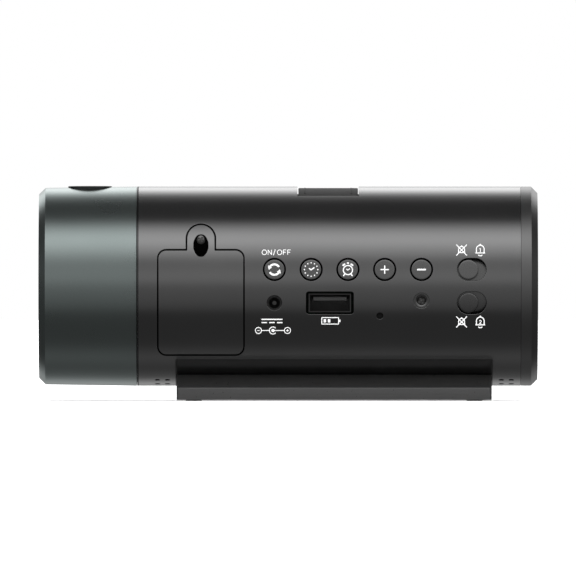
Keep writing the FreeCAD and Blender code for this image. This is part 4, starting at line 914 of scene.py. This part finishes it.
def liner(name, place, outer, inner, body, finish):
    # a ring that lines an opening: skin, rounded edge, inner wall, and back along the opening's own wall
    turn = np.arange(120) * 2 * np.pi / 120 - np.pi
    heading = np.column_stack([np.cos(turn), np.sin(turn)])
    out, within = (radiusAt(outline, turn)[:, None] for outline in (outer, inner))
    sunk, depth = place["sunk"], place["depth"]
    edge = [(within + inset, sunk + drop) for inset, drop in rimRows(place["rim"])[::-1]]
    steps = [(out, sunk), *edge, (within, depth), (out, depth)]
    middle = (place["x"], place["z"])
    rows = [skinRing(heading * np.minimum(radius, out) + middle, below) for radius, below in steps]
    putMesh(name, hoop(rows), body, None, finish)


def lineOpenings():
    pocket, well = openings["pocket"], openings["well"]
    stadium = roundedOutline(pocket["width"], pocket["height"], pocket["width"] / 2 - 0.001, 24)
    oval = circle(1.0, 120) * (pocket["width"] / 2 - 0.06, pocket["height"] / 2 - 0.06)
    liner("pocket_rim", pocket, stadium, oval, "battery_door", "housing_gloss")
    mouth, foot = circle(well["radius"], 120), circle(well["foot"], 120)
    liner("screw_well", well, mouth, foot, "main_body", "knob_satin")


lineOpenings()
print("rims")

headRim = {
    "points": 180,
    # place along X and radius
    "outline": [(-47.75, 30.3), (-47.75, 30.995), (-47.15, 30.995), (-47.05, 30.895), (-47.05, 30.3)],
}


def makeHeadRim():
    # a ring round the head's lip, which narrows the seam: its outline turned about the barrel's axis
    ring = circle(1.0, headRim["points"])
    rows = [np.column_stack([ring[:, 0] * 0 + x, ring[:, 0] * r, ring[:, 1] * r + barrel["axisHeight"]])
            for x, r in headRim["outline"]]
    putMesh("head_rim", hoop(rows), "projector_head", None, "head_satin")


makeHeadRim()

# Rounded edges round the openings in the barrel's skin: rings cut away along each outline

softEdge = {
    "width": 0.2,
    "steps": (10, 35, 62, 90),  # degrees round the edge at which its rings lie
    "outside": 0.3,  # how far the cutting rings reach out into the air
    "skinSlack": 0.02,  # points this near the skin take the skin's own direction
    "spacing": 0.5,
    # x, z and radius of the power inlet's hole, the pinhole and the screw's recess
    "holes": ((-4.3, 30.4, 2.3), (28.4, 26.4, 1.0), (41.3, 31.1, 2.375)),
}
door = {
    "x": -27.1,
    "halfWidth": 13.2,
    "bottom": 14.4,
    "top": 46.7,
    "corner": 2.5,
    "tabHalf": 4.3,
    "tabMiddle": 50.4,
    "gap": 0.35,
}


def doorOutline(gap):
    # the plate with its screw tab, grown by a gap; points run anticlockwise as the keys' side is seen
    wide, tab, corner = door["halfWidth"] + gap, door["tabHalf"] + gap, door["corner"] + gap
    low, high = door["bottom"] - gap + corner, door["top"] + gap - corner
    side = wide - corner
    rows = [arc((side, low), corner, -90, 0, 8), arc((side, high), corner, 0, 90, 8),
            [(tab, high + corner)], arc((0, door["tabMiddle"]), tab, 0, 180, 24), [(-tab, high + corner)],
            arc((-side, high), corner, 90, 180, 8), arc((-side, low), corner, 180, 270, 8)]
    return refined(np.vstack(rows), softEdge["spacing"])


def mitres(outline):
    # the outward direction at each point of an outline, lengthened where it turns a corner
    before, after = outline - np.roll(outline, 1, 0), np.roll(outline, -1, 0) - outline
    first, second = (np.column_stack([step[:, 1], -step[:, 0]]) / np.linalg.norm(step, axis=1)[:, None]
                     for step in (before, after))
    return (first + second) / (1 + (first * second).sum(1))[:, None]


def edgeCutter(outline, x, z, side):
    # side is 1 where the material lies outside the outline and -1 where it lies inside
    width, outside = softEdge["width"], softEdge["outside"]
    turn = np.radians(softEdge["steps"])
    section = [(-outside, -outside), (width, -outside)]
    section += [(width * (1 - math.sin(t)), width * (1 - math.cos(t))) for t in turn] + [(-outside, width)]
    across = mitres(outline) * side
    return hoop([skinRing(outline + across * reach + (x, z), depth) for reach, depth in section])


def carve(nodeName, body, cutters):
    # a copy of the node's mesh with the rings taken away and the skin's own normals put back
    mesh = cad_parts[nodeName].data.copy()
    work = bmesh.new()
    work.from_mesh(mesh)
    bmesh.ops.remove_doubles(work, verts=work.verts, dist=0.001 * metre)
    work.to_mesh(mesh)
    work.free()
    if "custom_normal" in mesh.attributes:
        mesh.attributes.remove(mesh.attributes["custom_normal"])
    blank = put(nodeName + "_blank", mesh)
    tool = putMesh(nodeName + "_rings", together(*cutters), body, None, "housing_gloss")
    step = blank.modifiers.new("rings", "BOOLEAN")
    step.operation = "DIFFERENCE"
    step.solver = "EXACT"
    step.use_self = True
    step.object = tool
    made = bpy.data.meshes.new_from_object(blank.evaluated_get(bpy.context.evaluated_depsgraph_get()))
    bpy.data.objects.remove(blank)
    bpy.data.objects.remove(tool)
    skinNormals(made)
    piece = put(nodeName + "_soft", made)
    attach(piece, body)
    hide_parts(nodeName)
    print(nodeName, "softened, points:", len(made.vertices))


def skinNormals(mesh):
    # corners on the barrel's skin get the direction straight out from its axis
    mesh.polygons.foreach_set("use_smooth", np.ones(len(mesh.polygons), bool))
    mesh.set_sharp_from_angle(angle=math.radians(40))
    corners, points = np.zeros(len(mesh.loops) * 3), np.zeros(len(mesh.vertices) * 3)
    at = np.zeros(len(mesh.loops), int)
    mesh.corner_normals.foreach_get("vector", corners)
    mesh.vertices.foreach_get("co", points)
    mesh.loops.foreach_get("vertex_index", at)
    corners, points = corners.reshape(-1, 3), points.reshape(-1, 3) / metre
    outward = points * (0, 1, 1) - (0, 0, barrel["axisHeight"])
    reach = np.linalg.norm(outward, axis=1, keepdims=True)
    outward /= reach
    onSkin = reach[:, 0] > barrel["radius"] - softEdge["skinSlack"]
    chosen = onSkin[at] & ((corners * outward[at]).sum(1) > 0.8)
    corners[chosen] = outward[at][chosen]
    mesh.normals_split_custom_set(corners.tolist())


def roundHole(x, z, radius):
    return edgeCutter(circle(radius, max(24, int(radius * 24))), x, z, 1)


def softenHousing():
    spacing, socket = softEdge["spacing"], openings["socket"]
    cutters = [roundHole(x, keys["row"], keys["holeRadius"]) for x, symbol in keys["faces"].values()]
    cutters += [roundHole(*hole) for hole in softEdge["holes"]]
    corner = knobs["slotHeight"] / 2 - 0.0001
    obround = refined(roundedOutline(knobs["slotLength"], knobs["slotHeight"], corner, 16), spacing)
    cutters += [edgeCutter(obround, knobs["slotMiddle"], z, 1) for z in knobs["rows"].values()]
    mouth = refined(roundedOutline(socket["width"], socket["height"], socket["corner"]), spacing)
    cutters.append(edgeCutter(mouth, socket["x"], socket["z"], 1))
    cutters.append(edgeCutter(doorOutline(door["gap"]), door["x"], 0, 1))
    carve("rear_housing", "main_body", cutters)


softenHousing()
carve("battery_door", "battery_door", [edgeCutter(doorOutline(0), door["x"], 0, -1)])

# a strip behind the door's corner that keeps light out of the compartment
baffle = {"x": (-41.3, -37.2), "y": (-25.7, -25.2), "z": (44.5, 48.3)}
putMesh("light_baffle", bar(baffle["x"], baffle["y"], baffle["z"]), "main_body", "inner_plastic")

# Between the rails of the charging socket: the tongue with a bevelled front edge

tongue = {
    "x": (7.6, 18.2),
    "z": (31.1, 32.4),
    "corner": 0.2,
    "bevel": 0.25,
    "front": -28.8,
    "root": -19.535,
    "back": -16.535,
    "blockX": (6.65, 19.15),
    "blockZ": (27.84, 32.96),
}


def makeTongue():
    bevel, corner, front, root = tongue["bevel"], tongue["corner"], tongue["front"], tongue["root"]
    (left, right), (low, high) = tongue["x"], tongue["z"]
    outline = roundedOutline(right - left, high - low, corner)
    narrow = outline * (1 - 2 * bevel / (right - left), 1 - 2 * bevel / (high - low))
    levels = ((narrow, front), (outline, front + bevel), (outline, root + 0.2))
    blade = stack([flatRing(ring, (left + right) / 2, y, (low + high) / 2) for ring, y in levels])
    block = bar(tongue["blockX"], (root, tongue["back"]), tongue["blockZ"], corner)
    piece = putMesh("tongue_bevelled", together(blade, block), "main_body", "tongue_white")
    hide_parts("charge_socket_tongue")


makeTongue()

# Clock figures on the display, read from the front of the barrel

figures = {
    "time": "10:30",
    "lit": {"0": "abcdef", "1": "bc", "3": "abcdg"},
    "height": 15.0,
    "width": 8.4,
    "stroke": 1.5,
    "pitch": 14.0,
    "middle": (12.625, 35.6),
    "face": 23.6,
    "glow": (0.62, 0.9, 1.0),
}


def glowPaint(finish):
    even = finish.spread(60)
    return {"Emission Color": finish.blend(even, (0.5, 0.82, 0.95), figures["glow"])}


figureLook = {"Base Color": (0.05, 0.08, 0.09), "Roughness": 0.5, "Emission Strength": 1.6}
finishes["figure_glow"] = newMaterial("figureGlow", figureLook, glowPaint)


def segment(across, up, long, upright):
    # one lit bar of a figure: a hexagon long one way, pointed at both ends
    half, wide = long / 2, figures["stroke"] / 2
    outline = np.array([(-half, 0), (wide - half, -wide), (half - wide, -wide),
                        (half, 0), (half - wide, wide), (wide - half, wide)])
    outline = outline[:, ::-1] * (1, -1) if upright else outline
    return stack([flatRing(outline, across, figures["face"] + lift, up) for lift in (0.12, 0.0)])


def makeFigures():
    # the front is seen from +Y, so the first figure stands furthest along +X
    wide, tall = figures["width"] / 2, figures["height"] / 2
    bars = {"a": (0, tall, False), "b": (-wide, tall / 2, True), "c": (-wide, -tall / 2, True),
            "d": (0, -tall, False), "e": (wide, -tall / 2, True), "f": (wide, tall / 2, True),
            "g": (0, 0, False)}
    shapes = []
    middleX, middleZ = figures["middle"]
    for place, figure in enumerate(figures["time"]):
        x = middleX - (place - (len(figures["time"]) - 1) / 2) * figures["pitch"]
        if figure == ":":
            shapes += [segment(x, middleZ + up, figures["stroke"] * 1.3, False) for up in (-3, 3)]
        for name in figures["lit"].get(figure, ""):
            across, up, upright = bars[name]
            long = (tall if upright else 2 * wide) - 0.4
            shapes.append(segment(x + across, middleZ + up, long, upright))
    putMesh("display_figures", together(*shapes), "main_body", None, "figure_glow", smooth=False)


makeFigures()
print("door edge, tongue and figures")


# Studio: floor, light and camera

studio = {
    "ringStrength": 2.6,
    "sideShade": 0.02,  # what faces the ends of the barrel, as a share of the ring's strength
    "sunStrength": 4.0,
    "sunSpread": 1.2,
    "floorShade": 0.88,
    "floorGlow": 0.3,  # the floor is a light table
    "floorSize": 40.0,
    # light around the barrel's axis: degrees up from the camera's side, then brightness
    "ring": [(-180, 0.10), (-164, 0.17), (-154, 0.22), (-143, 0.16), (-133, 0.068), (-111, 0.035),
             (-90, 0.057), (-71, 0.025), (-31, 0.023), (-26, 0.046), (-22, 0.058), (-12, 0.070),
             (-1, 0.076), (9, 0.152), (16, 0.137), (25, 0.111), (30, 0.120), (37, 0.215), (45, 0.296),
             (54, 0.41), (64, 0.35), (73, 0.200), (81, 0.040), (86, 0.020), (113, 0.024), (127, 0.08),
             (135, 0.26), (143, 0.56), (152, 0.75), (158, 0.66), (166, 0.38), (180, 0.10)],
}


def lightRing():
    # the room as the barrel mirrors it: one brightness for each angle around its axis
    world = bpy.data.worlds.new("studio")
    bpy.context.scene.world = world
    world.use_nodes = True
    world.node_tree.nodes.clear()
    finish = Finish(world.node_tree)
    direction = finish.node("TexCoord", output="Generated")
    x, y, z = (finish.node("SeparateXYZ", {}, {"Vector": direction}, output=i) for i in range(3))
    turn = finish.maths("ARCTAN2", z, -y) / (2 * math.pi) + 0.5
    ring = finish.node("ValToRGB", {}, {"Fac": turn})
    stops = ring.socket.node.color_ramp.elements
    while len(stops) < len(studio["ring"]):
        stops.new(1.0)
    for stop, (angle, value) in zip(stops, studio["ring"]):
        stop.position = (angle + 180) / 360
        stop.color = (value, value, value, 1.0)
    # 1 towards the barrel's ends and the far side
    away = ((x * x - 0.12) / 0.25).held() * (y * 5 + 1.5).held()
    colour = finish.blend(away, ring, (studio["sideShade"],) * 3)
    glow = finish.node("Background", {}, {"Color": colour, "Strength": studio["ringStrength"]})
    backdrop = finish.node("Background", {}, {"Color": (1, 1, 1), "Strength": 1.0})
    seen = finish.node("LightPath", output="Is Camera Ray")  # the backdrop itself is plain white
    room = finish.node("MixShader", {}, {0: seen, 1: glow, 2: backdrop})
    finish.node("OutputWorld", {}, {"Surface": room})


def stageRoom():
    half, level = studio["floorSize"] / 2, studio["floorShade"]
    corners = [(-half, -half, 0), (half, -half, 0), (half, half, 0), (-half, half, 0)]
    floorMesh = bpy.data.meshes.new("floor")
    floorMesh.from_pydata(corners, [], [(0, 1, 2, 3)])
    look = {
        "Base Color": (level, level, level),
        "Roughness": 0.9,
        "Specular IOR Level": 0.0,
        "Emission Color": (1.0, 1.0, 1.0),
        "Emission Strength": studio["floorGlow"],
    }
    floorMesh.materials.append(newMaterial("floorWhite", look))
    floor = put("floor", floorMesh)
    floor.visible_glossy = False


def hangSun():
    light = bpy.data.lights.new("softSun", "SUN")
    light.energy = studio["sunStrength"]
    light.angle = studio["sunSpread"]
    sun = put("softSun", light)
    sun.rotation_euler = (math.radians(-25), math.radians(8), 0)
    sun.visible_glossy = False


# the photograph is level and taken from far off, so that depth hardly shrinks anything
view = {"distance": 8.0, "widthSeen": 0.17928, "x": -0.00008, "z": 0.03503}


def setCamera():
    data = bpy.data.cameras.new("camera")
    data.sensor_width = 36
    data.lens = data.sensor_width * view["distance"] / view["widthSeen"]
    data.clip_end = 100
    camera = put("camera", data)
    camera.location = (view["x"], -view["distance"], view["z"])
    camera.rotation_euler = (math.radians(90), 0, 0)
    bpy.context.scene.camera = camera


lightRing()
stageRoom()
hangSun()
setCamera()
bpy.context.scene.view_settings.view_transform = "Standard"
print("studio")
